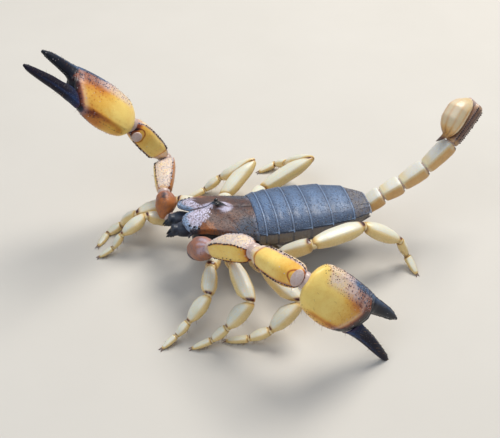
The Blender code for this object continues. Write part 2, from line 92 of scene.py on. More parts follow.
# --- legs ---
LEG_LENGTHS = {1: (6.2, 6.5, 6.3, 3.5, 3.4), 2: (7.8, 8.8, 6.8, 3.9, 4.0), 3: (7.9, 9.8, 7.7, 4.4, 4.4),
               4: (9.0, 12.1, 9.1, 4.8, 4.3)}
LEG_DEPTHS = {1: 1.17, 2: 1.32, 3: 1.4, 4: 1.45}
LEG_FLATTEN = 1.25
TROCHANTER_LEN = 1.9
FOOT_HEIGHT = 0.3
LEG_HIPS = {1: (-9.4, 6.8, 6.7), 2: (-7.0, 8.3, 7.5), 3: (-2.8, 8.8, 7.2), 4: (1.6, 8.8, 6.9)}
LEG_POSES = {             # headings of femur to foot, pitches of the first four
    "left_1": ((-115, -106, -160, -160, -157), (27, -12, -44, -38)),
    "left_2": ((-98, -82, -175, -179, 175), (36, -17, -49, -40)),
    "left_3": ((-86, -61, -171, 170, 160), (29, -15, -43, -25)),
    "left_4": ((-29, 16, -5, -3, -78), (32, -2, -31, -66)),
    "right_1": ((161, -177, -175, -167, -172), (-13, 24, -33, -52)),
    "right_2": ((150, -177, 132, -160, -124), (3, -10, -47, -16)),
    "right_3": ((93, 37, 161, -174, -164), (-25, 22, -31, -33)),
    "right_4": ((62, 8, 111, 113, -170), (-18, 24, -34, -32)),
}

# --- pedipalps ---
PALP_FEMUR = 11.5
PALP_PATELLA = 13.5
MANUS_LEN = 13.9          # base joint to the hinge of the movable finger
HINGE_OFFSET = 2.7
PALP_START = {"left": (-11.5, -11.4, 14.0), "right": (-16.7, 10.2, 12.0)}
PALP_ROOT = {"left": (-14.1, -7.3, 10.6), "right": (-16.6, 6.2, 8.9)}
PALP_HIP = {"left": (-13.0, -5.0, 7.6), "right": (-13.2, 5.0, 7.6)}
PALP_POSES = {
    "left": ((-53, 25, 0), (-64, 10, 0), (-1, -45.5, 59), 11.5),
    "right": ((79, 2, 0), (201, 58, 0), (184, 46, -28), 3.5),
}
PALP_FACE = {"left": (133.0, 1), "right": (-4.0, -1)}   # where the patella's smooth face looks
MANUS_OUTLINE = (
    (0.2, -1.2, 1.5, 1.1), (0.9, -3.0, 3.0, 1.9), (2.3, -4.4, 4.2, 2.5), (4.5, -4.9, 4.8, 2.9),
    (7.5, -5.1, 5.1, 3.0), (11.0, -4.9, 4.8, 2.6), (13.3, -4.6, 4.3, 1.8), (13.9, -4.5, 3.9, 1.4),
)
FIXED_FINGER = (
    (16.2, -4.4, -0.9, 1.15), (17.1, -4.35, -1.5, 1.0), (18.6, -4.3, -1.85, 0.9), (20.3, -4.2, -2.2, 0.8),
    (22.0, -3.9, -2.55, 0.6), (23.3, -3.5, -2.9, 0.35),
)
MOVABLE_FINGER = (
    (0.0, -0.2, 1.7, 1.2), (1.1, -0.5, 1.5, 1.25), (3.7, -0.75, 1.25, 1.0), (6.5, -0.9, 1.1, 0.9),
    (9.3, -0.9, 0.85, 0.7), (11.2, -0.9, 0.6, 0.5), (12.2, -1.0, 0.27, 0.27),
)
CLAW_SLANT = 0.6          # the claw's open end slants back towards the movable finger's side

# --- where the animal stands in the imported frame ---
eye_low, eye_high = (sum((np.array(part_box(n)[k]) for n in ("eye_left", "eye_right")), np.zeros(3)) / 2
                     for k in (0, 1))
EYE_MIDDLE = (eye_low + eye_high) / 2 / MM
ORIGIN = np.array([EYE_MIDDLE[0] - EYE_X, EYE_MIDDLE[1], 0.0])

UP, REAR = np.array([0.0, 0.0, 1.0]), np.array([1.0, 0.0, 0.0])


def to_frame(points):
    """Points in millimetres along the animal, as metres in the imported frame."""
    return (np.asarray(points, float) + ORIGIN) * MM


# --- small mathematics ---
def unit(vector):
    vector = np.asarray(vector, float)
    return vector / np.linalg.norm(vector)


def directions(heading, pitch, roll=0.0):
    """Forward, side and upper directions of a limb segment."""
    h, p, r = np.radians((heading, pitch, roll))
    out = np.array([math.cos(h), math.sin(h), 0.0])
    forward = out * math.cos(p) + UP * math.sin(p)
    upper = UP * math.cos(p) - out * math.sin(p)
    side = np.cross(upper, forward)
    return forward, side * math.cos(r) + upper * math.sin(r), upper * math.cos(r) - side * math.sin(r)


def aimed(tail, head):
    """Directions from one point to another, and the way between them."""
    way = np.asarray(head, float) - np.asarray(tail, float)
    heading = math.degrees(math.atan2(way[1], way[0]))
    pitch = math.degrees(math.asin(way[2] / np.linalg.norm(way)))
    return directions(heading, pitch), np.linalg.norm(way)


def step(low, high, value):
    """0 below low, 1 above high, smooth between; low may be the larger one."""
    t = np.clip((np.asarray(value, float) - low) / (high - low), 0.0, 1.0)
    return t * t * (3 - 2 * t)


def bump(value, centre, width):
    return np.exp(-((np.asarray(value, float) - centre) / width) ** 2)


def signed_power(value, power):
    return np.sign(value) * np.abs(value) ** power


def sheet_of(x, y, z):
    """Points from their three measures, each a number or a grid of them."""
    return np.stack(np.broadcast_arrays(x, y, z), -1)


def turn(angle, centre):
    """Signed difference of two angles in degrees, within half a turn."""
    return (np.degrees(angle) - centre + 180.0) % 360.0 - 180.0


def ridge(angle, centre, width):
    """1 at a direction round a tube, in degrees, and fading to both sides of it."""
    return bump(turn(angle, centre), 0, width)


def through(table, at):
    """Columns of a table of stations at new places, on monotone curves through them."""
    table = np.asarray(table, float)
    x, columns = table[:, 0], []
    at = np.clip(at, x[0], x[-1])
    h = np.diff(x)
    i = np.clip(np.searchsorted(x, at, side="right") - 1, 0, len(h) - 1)
    t = (at - x[i]) / h[i]
    for y in table[:, 1:].T:
        d = np.diff(y) / h
        m = np.concatenate(([d[0]], np.zeros(len(d) - 1), [d[-1]]))
        same = d[:-1] * d[1:] > 0
        m[1:-1][same] = 2 * d[:-1][same] * d[1:][same] / (d[:-1][same] + d[1:][same])
        rise = t * t * (3 - 2 * t)
        columns.append(y[i] * (1 - rise) + y[i + 1] * rise
                       + h[i] * (t * (1 - t) ** 2 * m[i] - t * t * (1 - t) * m[i + 1]))
    return columns


def mitre(forward, other):
    """Slide onto the joint plane shared with another direction, and the clearance to it."""
    if other is None:
        return np.zeros(3), 0.0
    normal = unit(forward + other)
    tilt = max(forward @ normal, STEEPEST_MITRE)
    return (forward * (forward @ normal) - normal) / tilt, GAP / 2 / tilt


# --- shells ---
class Tube:
    """A round-bodied stretch of shell: where it starts, its directions and its girth along it.
    A station is a fraction of the length, offsets to the side and upwards, and two half sizes."""

    def __init__(self, start, axes, length, stations, before=None, after=None, square=2.0, form=None):
        self.start = np.asarray(start, float)
        self.forward, self.side, self.upper = axes
        self.length, self.stations, self.square, self.form = length, stations, square, form
        self.slide_0, self.clear_0 = mitre(self.forward, before)
        self.slide_1, self.clear_1 = mitre(self.forward, after)
        widest = max(max(s[3], s[4]) for s in stations)
        self.fade_0 = max(1.5 * widest * np.linalg.norm(self.slide_0), 0.01)
        self.fade_1 = max(1.5 * widest * np.linalg.norm(self.slide_1), 0.01)
        self.end = self.start + self.forward * length

    def at(self, f, angle, lift=0.0):
        """Points on the surface at fractions f along and angles round it, raised by lift."""
        f, angle, lift = np.broadcast_arrays(np.asarray(f, float), angle, lift)
        a, b, hs, hu = through(self.stations, f)
        k = self.form(f, angle) if self.form else 1.0
        x = signed_power(np.cos(angle), 2 / self.square) * (hs * k + lift) + a
        y = signed_power(np.sin(angle), 2 / self.square) * (hu * k + lift) + b
        d = self.clear_0 + (self.length - self.clear_0 - self.clear_1) * f
        off = x[..., None] * self.side + y[..., None] * self.upper
        near = np.maximum(0.0, 1 - (d - self.clear_0) / self.fade_0)[..., None]
        far = np.maximum(0.0, 1 - (self.length - self.clear_1 - d) / self.fade_1)[..., None]
        lean = (off * (self.slide_0 * near + self.slide_1 * far)).sum(-1)
        return self.start + (d + lean)[..., None] * self.forward + off


def stations(wide, high, *shares):
    """Stations in a straight line, from fractions of the length with shares of the half sizes."""
    return [(f, 0, 0, wide * w, high * (h[0] if h else w)) for f, w, *h in shares]


def between(tail, head, shape, square=2.0):
    """A tube from one point to another."""
    axes, reach = aimed(tail, head)
    return Tube(tail, axes, reach, shape, square=square)


def along(count, ends=0.6):
    """Fractions from 0 to 1, closer together towards both ends."""
    t = np.linspace(0.0, 1.0, count)
    return t * (1 - ends) + ends * (1 - np.cos(math.pi * t)) / 2


def around(count):
    return np.arange(count) * 2 * math.pi / count


CAP_RINGS = (0.35, 0.7, 1.05, 1.35)     # a quarter turn's angles at which an end is rounded off


class Skin:
    """The closed shells of one piece, with their painted marks: ink runs the colour from the
    shell's own to its darkest, the pale mark lays on waxy bloom and painted sheen, grain is where granules
    grow."""

    def __init__(self):
        self.points, self.marks, self.quads, self.tris, self.size = [], [], [], [], 0

    def add(self, points, marks, quads, tris):
        corners = np.vstack((quads[:, :3], quads[:, [0, 2, 3]], tris))
        a, b, c = (points[corners[:, k]] for k in range(3))
        if np.einsum("ij,ij->", a, np.cross(b, c)) < 0:
            quads, tris = quads[:, ::-1], tris[:, ::-1]
        self.points.append(points)
        self.marks.append(marks)
        self.quads.append(quads + self.size)
        self.tris.append(tris + self.size)
        self.size += len(points)

    def grid(self, points, ink=0.0, bloom_and_sheen=0.0, grain=0.0, bulges=(0.0, 0.0)):
        """A tube of rows by columns of points, closed round and capped; a bulge in millimetres
        rounds an end outwards, and a negative one hollows it behind a lip."""
        rows, columns = points.shape[:2]
        marks = np.stack([np.broadcast_to(m, (rows, columns)) for m in (ink, bloom_and_sheen, grain)], -1)
        middle = points.mean((0, 1))
        caps = []
        for rim, inside, bulge in ((points[0], points[1], bulges[0]), (points[-1], points[-2], bulges[1])):
            centre = rim.mean(0)
            out = unit(centre - inside.mean(0))
            caps.append([centre + (rim - centre) * (math.cos(t) if bulge >= 0 else 1 - 0.6 * t)
                         + out * (bulge * math.sin(t)) for t in CAP_RINGS])
        sheet = np.vstack((caps[0][::-1], points, caps[1]))
        colour = np.vstack(([marks[0]] * len(CAP_RINGS), marks, [marks[-1]] * len(CAP_RINGS)))
        rows = len(sheet)
        index = np.arange(rows * columns).reshape(rows, columns)
        right = np.roll(index, -1, axis=1)
        quads = np.stack((index[:-1], right[:-1], right[1:], index[1:]), -1).reshape(-1, 4)
        poles = rows * columns + np.arange(2)
        tips = np.array([sheet[0].mean(0), sheet[-1].mean(0)])
        tris = np.vstack((
            np.stack((right[0], index[0], np.full(columns, poles[0])), -1),
            np.stack((index[-1], right[-1], np.full(columns, poles[1])), -1),
        ))
        flat = np.vstack((sheet.reshape(-1, 3), tips)) - middle
        ends = np.array([colour[0].mean(0), colour[-1].mean(0)])
        self.add(flat, np.vstack((colour.reshape(-1, 3), ends)), quads, tris)
        self.points[-1] = flat + middle

    def tube(self, tube, rows, columns, paint, bulges=(0.25, 0.25), ends=0.6):
        """A whole tube; paint(f, angle) gives its ink, bloom and grain."""
        f, angle = along(rows, ends)[:, None], around(columns)[None, :]
        self.grid(tube.at(f, angle), *paint(f, angle), bulges)

    def ball(self, centre, axes, sizes, columns=20, ink=0.0, bloom_and_sheen=0.0, grain=0.0):
        """A smooth rounded lump."""
        t = np.linspace(0.08, math.pi - 0.08, columns // 2 + 2)[:, None]
        a = around(columns)[None, :]
        local = (np.cos(t) + 0 * a, np.sin(t) * np.cos(a), np.sin(t) * np.sin(a))
        points = np.asarray(centre, float) + sum(
            size * part[..., None] * axis for size, part, axis in zip(sizes, local, axes))
        self.grid(points, ink, bloom_and_sheen, grain)

    def lift_to_floor(self):
        """Lifts what would lie below the floor up to it."""
        for points in self.points:
            points[:, 2] = np.maximum(points[:, 2], 0.0)

    def piece(self, name, finish, slot, *nodes):
        """The finished piece, with its finish and the nodes it stands for; the slot is not used."""
        made = mesh_piece(name, np.vstack(self.points), np.vstack(self.quads), np.vstack(self.tris),
                          MATERIALS[finish], np.vstack(self.marks))
        return settle(made, slot, *nodes)


def new_object(name, data):
    made = bpy.data.objects.new(name, data)
    bpy.context.scene.collection.objects.link(made)
    return made


def mesh_piece(name, points, quads, tris, material, marks=None):
    """An object from arrays of points, four-cornered and three-cornered faces, and marks."""
    mesh = bpy.data.meshes.new(name)
    mesh.vertices.add(len(points))
    mesh.vertices.foreach_set("co", to_frame(points).astype(np.float32).ravel())
    corners = np.concatenate((quads.ravel(), tris.ravel())).astype(np.int32)
    starts = np.concatenate((np.arange(len(quads)) * 4, len(quads) * 4 + np.arange(len(tris)) * 3))
    mesh.loops.add(len(corners))
    mesh.loops.foreach_set("vertex_index", corners)
    mesh.polygons.add(len(quads) + len(tris))
    mesh.polygons.foreach_set("loop_start", starts.astype(np.int32))
    mesh.polygons.foreach_set("use_smooth", np.ones(len(starts), bool))
    if marks is not None:
        for k, mark in enumerate(("ink", "bloom_and_sheen", "grain")):
            layer = mesh.attributes.new(mark, "FLOAT", "POINT")
            layer.data.foreach_set("value", np.clip(marks[:, k], 0, 1).astype(np.float32))
    mesh.update(calc_edges=True)
    mesh.validate()
    mesh.materials.append(material)
    return new_object(name, mesh)


def settle(piece, slot, *nodes):
    """The piece rides on the body and stands for its solids; the slot is not used."""
    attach(piece, BODY)
    if nodes:
        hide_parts(*nodes)
    return piece


# --- node trees ---
BUMP_HEIGHT = 0.00012     # metres


class Tree:
    """Small helper that adds nodes with their settings and inputs in one go."""

    def __init__(self, tree):
        self.tree = tree

    def node(self, kind, inputs=None, **settings):
        made = self.tree.nodes.new(kind)
        for key, value in settings.items():
            setattr(made, key, value)
        for key, value in (inputs or {}).items():
            if isinstance(value, bpy.types.NodeSocket):
                self.tree.links.new(value, made.inputs[key])
            else:
                made.inputs[key].default_value = value
        return made

    def math(self, operation, a, b=0.0, clamp=False):
        return self.node("ShaderNodeMath", {0: a, 1: b}, operation=operation, use_clamp=clamp).outputs[0]

    def mix(self, factor, a, b):
        return self.node("ShaderNodeMix", {0: factor, 6: a, 7: b}, data_type="RGBA").outputs[2]

    def spread(self, value, low, high, to_low=0.0, to_high=1.0):
        return self.node("ShaderNodeMapRange", {0: value, 1: low, 2: high, 3: to_low, 4: to_high},
                         interpolation_type="SMOOTHSTEP").outputs[0]

    def bumps(self, height, strength):
        return self.node("ShaderNodeBump", {"Height": height, "Distance": BUMP_HEIGHT,
                                            "Strength": strength}).outputs[0]

    def mark(self, name):
        return self.node("ShaderNodeAttribute", attribute_name=name).outputs["Fac"]


def group(name, inputs, outputs, kind="ShaderNodeTree"):
    """A node group with named inputs (kind, default) and outputs (kind), and its two end nodes."""
    tree = bpy.data.node_groups.new(name, kind)
    for label, (socket, value) in inputs.items():
        made = tree.interface.new_socket(label, in_out="INPUT", socket_type=socket)
        if value is not None:
            made.default_value = value
    for label, socket in outputs.items():
        tree.interface.new_socket(label, in_out="OUTPUT", socket_type=socket)
    given, out = tree.nodes.new("NodeGroupInput"), tree.nodes.new("NodeGroupOutput")
    return tree, Tree(tree), given.outputs, out.inputs


FLOAT, VECTOR = "NodeSocketFloat", "NodeSocketVector"


def mottling():
    """Cloudy and fine unevenness of the shell's pigment, both around nought."""
    tree, t, given, out = group("Mottling", {"Vector": (VECTOR, None), "Scale": (FLOAT, 700.0)},
                                {"Cloud": FLOAT, "Fine": FLOAT})
    cloud = t.node("ShaderNodeTexNoise", {"Vector": given[0], "Scale": given[1], "Detail": 3.0,
                                          "Roughness": 0.55})
    fine = t.node("ShaderNodeTexNoise", {"Vector": given[0], "Scale": t.math("MULTIPLY", given[1], 5.5),
                                         "Detail": 2.0})
    for n, made in enumerate((cloud, fine)):
        tree.links.new(t.math("SUBTRACT", made.outputs[0], 0.5), out[n])
    return tree


def granulation():
    """Round granules of two sizes: their height, and the small ones as dots."""
    tree, t, given, out = group("Granulation", {"Vector": (VECTOR, None), "Scale": (FLOAT, 2000.0)},
                                {"Height": FLOAT, "Dots": FLOAT})
    heights = []
    for ratio in (1.0, 2.3):
        cells = t.node("ShaderNodeTexVoronoi", {"Vector": given[0], "Randomness": 0.9,
                                                "Scale": t.math("MULTIPLY", given[1], ratio)})
        heights.append(t.spread(cells.outputs["Distance"], 0.05, 0.42, 1.0, 0.0))
    both = t.math("ADD", heights[0], t.math("MULTIPLY", heights[1], 0.45))
    tree.links.new(both, out[0])
    tree.links.new(heights[0], out[1])
    return tree


def creasing():
    """Fine soft folds of the joint skin."""
    tree, t, given, out = group("Creasing", {"Vector": (VECTOR, None), "Scale": (FLOAT, 900.0)},
                                {"Height": FLOAT})
    noise = t.node("ShaderNodeTexNoise", {"Vector": given[0], "Scale": given[1], "Detail": 4.0,
                                          "Distortion": 1.6})
    tree.links.new(t.spread(noise.outputs[0], 0.3, 0.7), out[0])
    return tree


MOTTLING, GRANULATION, CREASING = mottling(), granulation(), creasing()


def grouped(t, tree, **inputs):
    return t.node("ShaderNodeGroup", inputs, node_tree=tree).outputs


def new_material(name, scale):
    """A material with its tree helper, the place on the object and the mottling there."""
    material = bpy.data.materials.new(name)
    material.use_nodes = True
    t = Tree(material.node_tree)
    where = t.node("ShaderNodeTexCoord").outputs["Object"]
    return material, t, where, grouped(t, MOTTLING, Vector=where, Scale=scale)


def finished(material, linked, constant):
    """The material with what varies linked to its shader, and what is the same all over set on it."""
    sockets = material.node_tree.nodes["Principled BSDF"].inputs
    for name, value in linked.items():
        material.node_tree.links.new(value, sockets[name])
    for name, value in constant.items():
        sockets[name].default_value = value
    return material


SHELL_CLOUDS = 620.0      # scale of the shells' unevenness, in clouds to a metre


def shell_material(name, ramp, bloom_and_sheen, roughness=0.4, coat=0.15, mottle=0.18, dots=0.25, dot_scale=2100.0,
                   relief=0.5, soft=0.0, smooth=0.0, cold_sheen=None, bare=0.0, specular=0.5):
    """Horny shell: pigment from the ink mark along a ramp, granules where grain is, waxy bloom and
    painted sheen.

    Over dark pigment bloom and sheen are of the cold colour, a painted sky reflection; bare says how
    far granules show through it.
    """
    material, t, where, (cloud, fine) = new_material(name, SHELL_CLOUDS)
    high, dot = grouped(t, GRANULATION, Vector=where, Scale=dot_scale)
    ink, bloom_and_sheen_mark, grain = t.mark("ink"), t.mark("bloom_and_sheen"), t.mark("grain")
    uneven = t.math("ADD", t.math("MULTIPLY", cloud, mottle * 1.6), t.math("MULTIPLY", fine, mottle))
    shade = t.math("ADD", ink, uneven)
    shade = t.math("ADD", shade, t.math("MULTIPLY", t.math("MULTIPLY", dot, grain), dots), clamp=True)
    colours = t.node("ShaderNodeValToRGB", {0: shade})
    steps = colours.color_ramp.elements
    while len(steps) < len(ramp):
        steps.new(0.5)
    for element, (position, colour) in zip(steps, ramp):
        element.position = position
    for element, (position, colour) in zip(steps, ramp):
        element.color = (*colour, 1.0)
    patchy = t.math("ADD", t.math("MULTIPLY", cloud, 0.9), t.math("MULTIPLY", fine, 1.3))
    veil = t.math("MULTIPLY", bloom_and_sheen_mark, t.math("ADD", 0.8, patchy, clamp=True), clamp=True)
    specks = t.math("MULTIPLY", t.spread(dot, 0.25, 0.78), t.math("MULTIPLY", grain, bare))
    veil = t.math("MULTIPLY", veil, t.math("SUBTRACT", 1.0, specks, clamp=True))
    bloom_and_sheen_colour = t.mix(t.spread(shade, 0.5, 0.85), (*bloom_and_sheen, 1.0), (*(cold_sheen or bloom_and_sheen), 1.0))
    rough = t.math("ADD", t.math("MULTIPLY", t.math("MAXIMUM", bloom_and_sheen_mark, grain), 0.18), roughness)
    lumps = t.math("ADD", t.math("MULTIPLY", high, t.math("ADD", grain, smooth)),
                   t.math("MULTIPLY", fine, 0.5))
    return finished(material, {
        "Base Color": t.mix(veil, colours.outputs[0], bloom_and_sheen_colour),
        "Roughness": t.math("ADD", rough, t.math("MULTIPLY", fine, 0.2), clamp=True),
        "Normal": t.bumps(lumps, relief),
    }, {
        "Coat Weight": coat, "Coat Roughness": 0.25, "Subsurface Weight": soft,
        "Subsurface Radius": (1.0, 0.6, 0.3), "Subsurface Scale": 0.0012, "Specular IOR Level": specular,
    })


def plain_material(name, colour, other, roughness, scale, coat=0.0, folds=0.0, soft=0.0):
    """Two close tones clouded together; folds give the joint skin its creases."""
    material, t, where, (cloud, fine) = new_material(name, scale)
    mixed = t.math("ADD", t.math("ADD", cloud, fine), 0.5, clamp=True)
    folded = grouped(t, CREASING, Vector=where, Scale=scale * 1.5)[0]
    lumps = t.math("ADD", t.math("MULTIPLY", folded, folds), t.math("MULTIPLY", fine, 0.3))
    return finished(material, {
        "Base Color": t.mix(mixed, (*colour, 1.0), (*other, 1.0)),
        "Roughness": t.math("ADD", t.math("MULTIPLY", fine, 0.3), roughness, clamp=True),
        "Normal": t.bumps(lumps, 0.5),
    }, {
        "Coat Weight": coat, "Subsurface Weight": soft, "Subsurface Radius": (1.0, 0.6, 0.4),
        "Subsurface Scale": 0.001,
    })


CLAW_RAMP = ((0.0, (0.92, 0.68, 0.20)), (0.18, (0.80, 0.46, 0.085)), (0.36, (0.60, 0.22, 0.035)),
             (0.58, (0.24, 0.055, 0.018)), (0.78, (0.045, 0.011, 0.010)), (1.0, (0.007, 0.007, 0.011)))
BROWN_RAMP = ((0.0, (0.42, 0.135, 0.028)), (0.3, (0.115, 0.046, 0.024)), (0.55, (0.045, 0.027, 0.027)),
              (0.8, (0.026, 0.03, 0.045)), (1.0, (0.006, 0.006, 0.009)))
SLATE_RAMP = ((0.0, (0.34, 0.31, 0.27)), (0.2, (0.14, 0.115, 0.10)), (0.45, (0.045, 0.066, 0.118)),
              (0.7, (0.026, 0.040, 0.078)), (1.0, (0.009, 0.011, 0.018)))
LEG_RAMP = ((0.0, (0.84, 0.72, 0.42)), (0.25, (0.72, 0.50, 0.17)), (0.5, (0.28, 0.11, 0.04)),
            (0.75, (0.075, 0.018, 0.014)), (1.0, (0.015, 0.008, 0.008)))
TAIL_RAMP = ((0.0, (0.80, 0.70, 0.44)), (0.3, (0.70, 0.39, 0.11)), (0.5, (0.38, 0.19, 0.055)),
             (0.75, (0.15, 0.055, 0.022)), (1.0, (0.025, 0.012, 0.01)))
COMB_RAMP = ((0.0, (0.56, 0.46, 0.33)), (1.0, (0.30, 0.18, 0.09)))

MATERIALS = {}
# the fourth colour is that of waxy bloom and painted sheen; the cold colour is a painted sky reflection over
# dark pigment
for finish, name, ramp, bloom_and_sheen, values, extra in (      # roughness, coat, mottling, dots and their scale
        ("claw", "claw_shell", CLAW_RAMP, (0.74, 0.65, 0.66), (0.3, 0.1, 0.12, 0.62, 1500.0),
         {"cold_sheen": (0.10, 0.19, 0.36), "bare": 0.6, "specular": 0.24}),
        ("finger", "finger_shell", CLAW_RAMP, (0.05, 0.11, 0.30), (0.3, 0.05, 0.05, 0.0, 1900.0),
         {"relief": 0.8, "specular": 0.13}),
        ("brown", "shield_shell", BROWN_RAMP, (0.62, 0.60, 0.78), (0.4, 0.08, 0.34, 0.3, 1700.0),
         {"relief": 0.7, "cold_sheen": (0.26, 0.37, 0.56), "bare": 0.85, "specular": 0.3}),
        ("slate", "back_shell", SLATE_RAMP, (0.26, 0.42, 0.72), (0.34, 0.15, 0.35, -0.3, 2100.0),
         {"relief": 1.0, "smooth": 0.3, "bare": 0.8}),
        ("leg", "leg_shell", LEG_RAMP, (0.72, 0.80, 0.80), (0.26, 0.3, 0.08, 0.25, 2300.0), {"soft": 0.12}),
        ("tail", "tail_shell", TAIL_RAMP, (0.74, 0.79, 0.82), (0.3, 0.25, 0.14, 0.3, 1900.0), {"soft": 0.08}),
        ("tail_dark", "tail_dark_shell", TAIL_RAMP, (0.46, 0.40, 0.46), (0.36, 0.2, 0.2, 0.3, 1900.0), {}),
        ("pleura", "flank_skin", SLATE_RAMP, (0.42, 0.38, 0.34), (0.5, 0.05, 0.25, 0.1, 1500.0),
         {"smooth": 0.3}),
        ("comb", "comb_shell", COMB_RAMP, (0.7, 0.66, 0.6), (0.45, 0.1, 0.15, 0.1), {})):
    MATERIALS[finish] = shell_material(name, ramp, bloom_and_sheen, *values, **extra)

for finish, name, colour, other, values in (           # roughness, scale, coat, folds, softness
        ("eye", "eye_lens", (0.004, 0.004, 0.007), (0.009, 0.008, 0.011), (0.14, 900.0, 0.5)),
        ("membrane", "joint_skin", (0.66, 0.55, 0.53), (0.46, 0.30, 0.24), (0.34, 600.0, 0.2, 0.5, 0.12)),
        ("bead_dark", "granules_dark", (0.012, 0.006, 0.007), (0.035, 0.012, 0.012), (0.35, 1200.0, 0.3)),
        ("bead_red", "granules_red", (0.10, 0.028, 0.022), (0.035, 0.010, 0.014), (0.4, 1500.0, 0.2)),
        ("bead_grey", "granules_grey", (0.16, 0.17, 0.20), (0.04, 0.045, 0.06), (0.35, 1500.0, 0.3)),
        ("bead_white", "granules_white", (0.70, 0.64, 0.64), (0.42, 0.36, 0.42), (0.4, 1500.0, 0.2)),
        ("bead_sky", "granules_sky", (0.08, 0.13, 0.22), (0.30, 0.42, 0.60), (0.3, 2500.0, 0.3)),
        ("bead_tan", "granules_tan", (0.05, 0.03, 0.026), (0.19, 0.145, 0.135), (0.35, 2500.0, 0.3)),
        ("bead_black", "denticles_black", (0.010, 0.010, 0.013), (0.022, 0.018, 0.02), (0.28, 1200.0, 0.4)),
        ("bristle", "bristles", (0.17, 0.075, 0.035), (0.35, 0.19, 0.09), (0.4, 300.0))):
    MATERIALS[finish] = plain_material(name, colour, other, *values)


# --- what repeats ---
GEOMETRY = "NodeSocketGeometry"
GRANULE_INPUTS = {"Geometry": (GEOMETRY, None), "Seed": ("NodeSocketInt", 3),
                  "Finish": ("NodeSocketMaterial", None)}


def granule_group(name, **sizes):
    return group(name, {**GRANULE_INPUTS, **{label: (FLOAT, value) for label, value in sizes.items()}},
                 {"Geometry": GEOMETRY}, "GeometryNodeTree")


def planted(t, given, bead, size, flat, placing):
    """Beads of a size, flattened, on points; made real, smoothed and given their finish."""
    shape = t.node("ShaderNodeCombineXYZ", {0: size, 1: size, 2: t.math("MULTIPLY", size, flat)})
    placed = t.node("GeometryNodeInstanceOnPoints",
                    {"Instance": bead.outputs[0], "Scale": shape.outputs[0], **placing})
    real = t.node("GeometryNodeRealizeInstances", {0: placed.outputs[0]})
    soft = t.node("GeometryNodeSetShadeSmooth", {"Geometry": real.outputs[0]})
    return t.node("GeometryNodeSetMaterial",
                  {"Geometry": soft.outputs[0], "Material": given["Finish"]}).outputs[0]


def bead_tree():
    """Every point of a mesh becomes a granule as large as its "size"."""
    tree, t, given, out = granule_group("Granules on points", Variation=0.22, Flatness=0.85)
    bead = t.node("GeometryNodeMeshIcoSphere", {"Radius": 1.0, "Subdivisions": 2})
    size = t.node("GeometryNodeInputNamedAttribute", {"Name": "size"}, data_type="FLOAT")
    low = t.math("SUBTRACT", 1.0, given["Variation"])
    high = t.math("ADD", 1.0, given["Variation"])
    vary = t.node("FunctionNodeRandomValue", {2: low, 3: high, "Seed": given["Seed"]}, data_type="FLOAT")
    scale = t.math("MULTIPLY", size.outputs[0], vary.outputs[1])
    tree.links.new(planted(t, given, bead, scale, given["Flatness"], {"Points": given["Geometry"]}), out[0])
    return tree


def grain_tree():
    """Granules strewn over a shell where its "grain" mark is, lying along its surface."""
    tree, t, given, out = granule_group("Granules on a shell", Density=1.0e6, Smallest=0.05, Largest=0.12)
    grain = t.node("GeometryNodeInputNamedAttribute", {"Name": "grain"}, data_type="FLOAT")
    number = t.math("MULTIPLY", given["Density"], t.math("POWER", grain.outputs[0], 1.5))
    strewn = t.node("GeometryNodeDistributePointsOnFaces",
                    {"Mesh": given["Geometry"], "Density": number, "Seed": given["Seed"]}).outputs
    bead = t.node("GeometryNodeMeshIcoSphere", {"Radius": MM, "Subdivisions": 1})
    vary = t.node("FunctionNodeRandomValue", {2: given["Smallest"], 3: given["Largest"],
                                              "Seed": given["Seed"]}, data_type="FLOAT")
    placing = {"Points": strewn["Points"], "Rotation": strewn["Rotation"]}
    tree.links.new(planted(t, given, bead, vary.outputs[1], 0.7, placing), out[0])
    return tree


BEADS, GRAINS = bead_tree(), grain_tree()


def grown(name, source, tree, **inputs):
    """The plain mesh that a tree makes from a mesh, with its named inputs set."""
    holder = new_object(name + "_source", source)
    modifier = holder.modifiers.new("Grow", "NODES")
    modifier.node_group = tree
    sockets = {item.name: item.identifier for item in tree.interface.items_tree if item.in_out == "INPUT"}
    for key, value in inputs.items():
        modifier[sockets[key]] = value
    holder.update_tag()
    seen = holder.evaluated_get(bpy.context.evaluated_depsgraph_get())
    mesh = bpy.data.meshes.new_from_object(seen)
    holder.modifiers.clear()
    bpy.data.objects.remove(holder)
    mesh.name = name
    return new_object(name, mesh)


GRANULE_POINTS = {}


def stipple(kind, slot, points, sizes):
    """Granules of their own sizes at scattered points."""
    GRANULE_POINTS.setdefault((kind, slot), []).append((points, sizes))


def bead_row(kind, slot, points, size, spacing):
    """Granules of a size along a line of points, spaced by their own width."""
    way = np.concatenate(([0.0], np.cumsum(np.linalg.norm(np.diff(points, axis=0), axis=1))))
    count = max(2, int(way[-1] / (size * spacing)))
    at = np.linspace(0, way[-1], count)
    row = np.stack([np.interp(at, way, points[:, k]) for k in range(3)], -1)
    stipple(kind, slot, row, size * (1 + 0.25 * np.sin(at * 7.3) * np.sin(at * 2.9)))


def teeth(kind, tube, degrees, near, away, size, count, random, wander):
    """Uneven granules along a keel of the claw's arm, from one fraction of its length to another."""
    f = near + (away - near) * (np.arange(count) + random.uniform(0.1, 0.9, count)) / count
    angle = np.radians(degrees + random.uniform(-wander, wander, count))
    stipple(kind, "claw_amber", tube.at(f, angle), size * random.uniform(0.5, 1.4, count))


def plant_beads():
    for (kind, slot), rows in GRANULE_POINTS.items():
        points = np.vstack([row for row, sizes in rows])
        sizes = np.concatenate([sizes for row, sizes in rows])
        source = bpy.data.meshes.new("points")
        source.vertices.add(len(points))
        source.vertices.foreach_set("co", to_frame(points).astype(np.float32).ravel())
        layer = source.attributes.new("size", "FLOAT", "POINT")
        layer.data.foreach_set("value", (sizes * MM).astype(np.float32))
        name = f"keel_granules_{slot}_{kind[5:]}" if kind.startswith("bead_") else f"{kind}_{slot}"
        settle(grown(name, source, BEADS, Finish=MATERIALS[kind], Seed=11), slot)


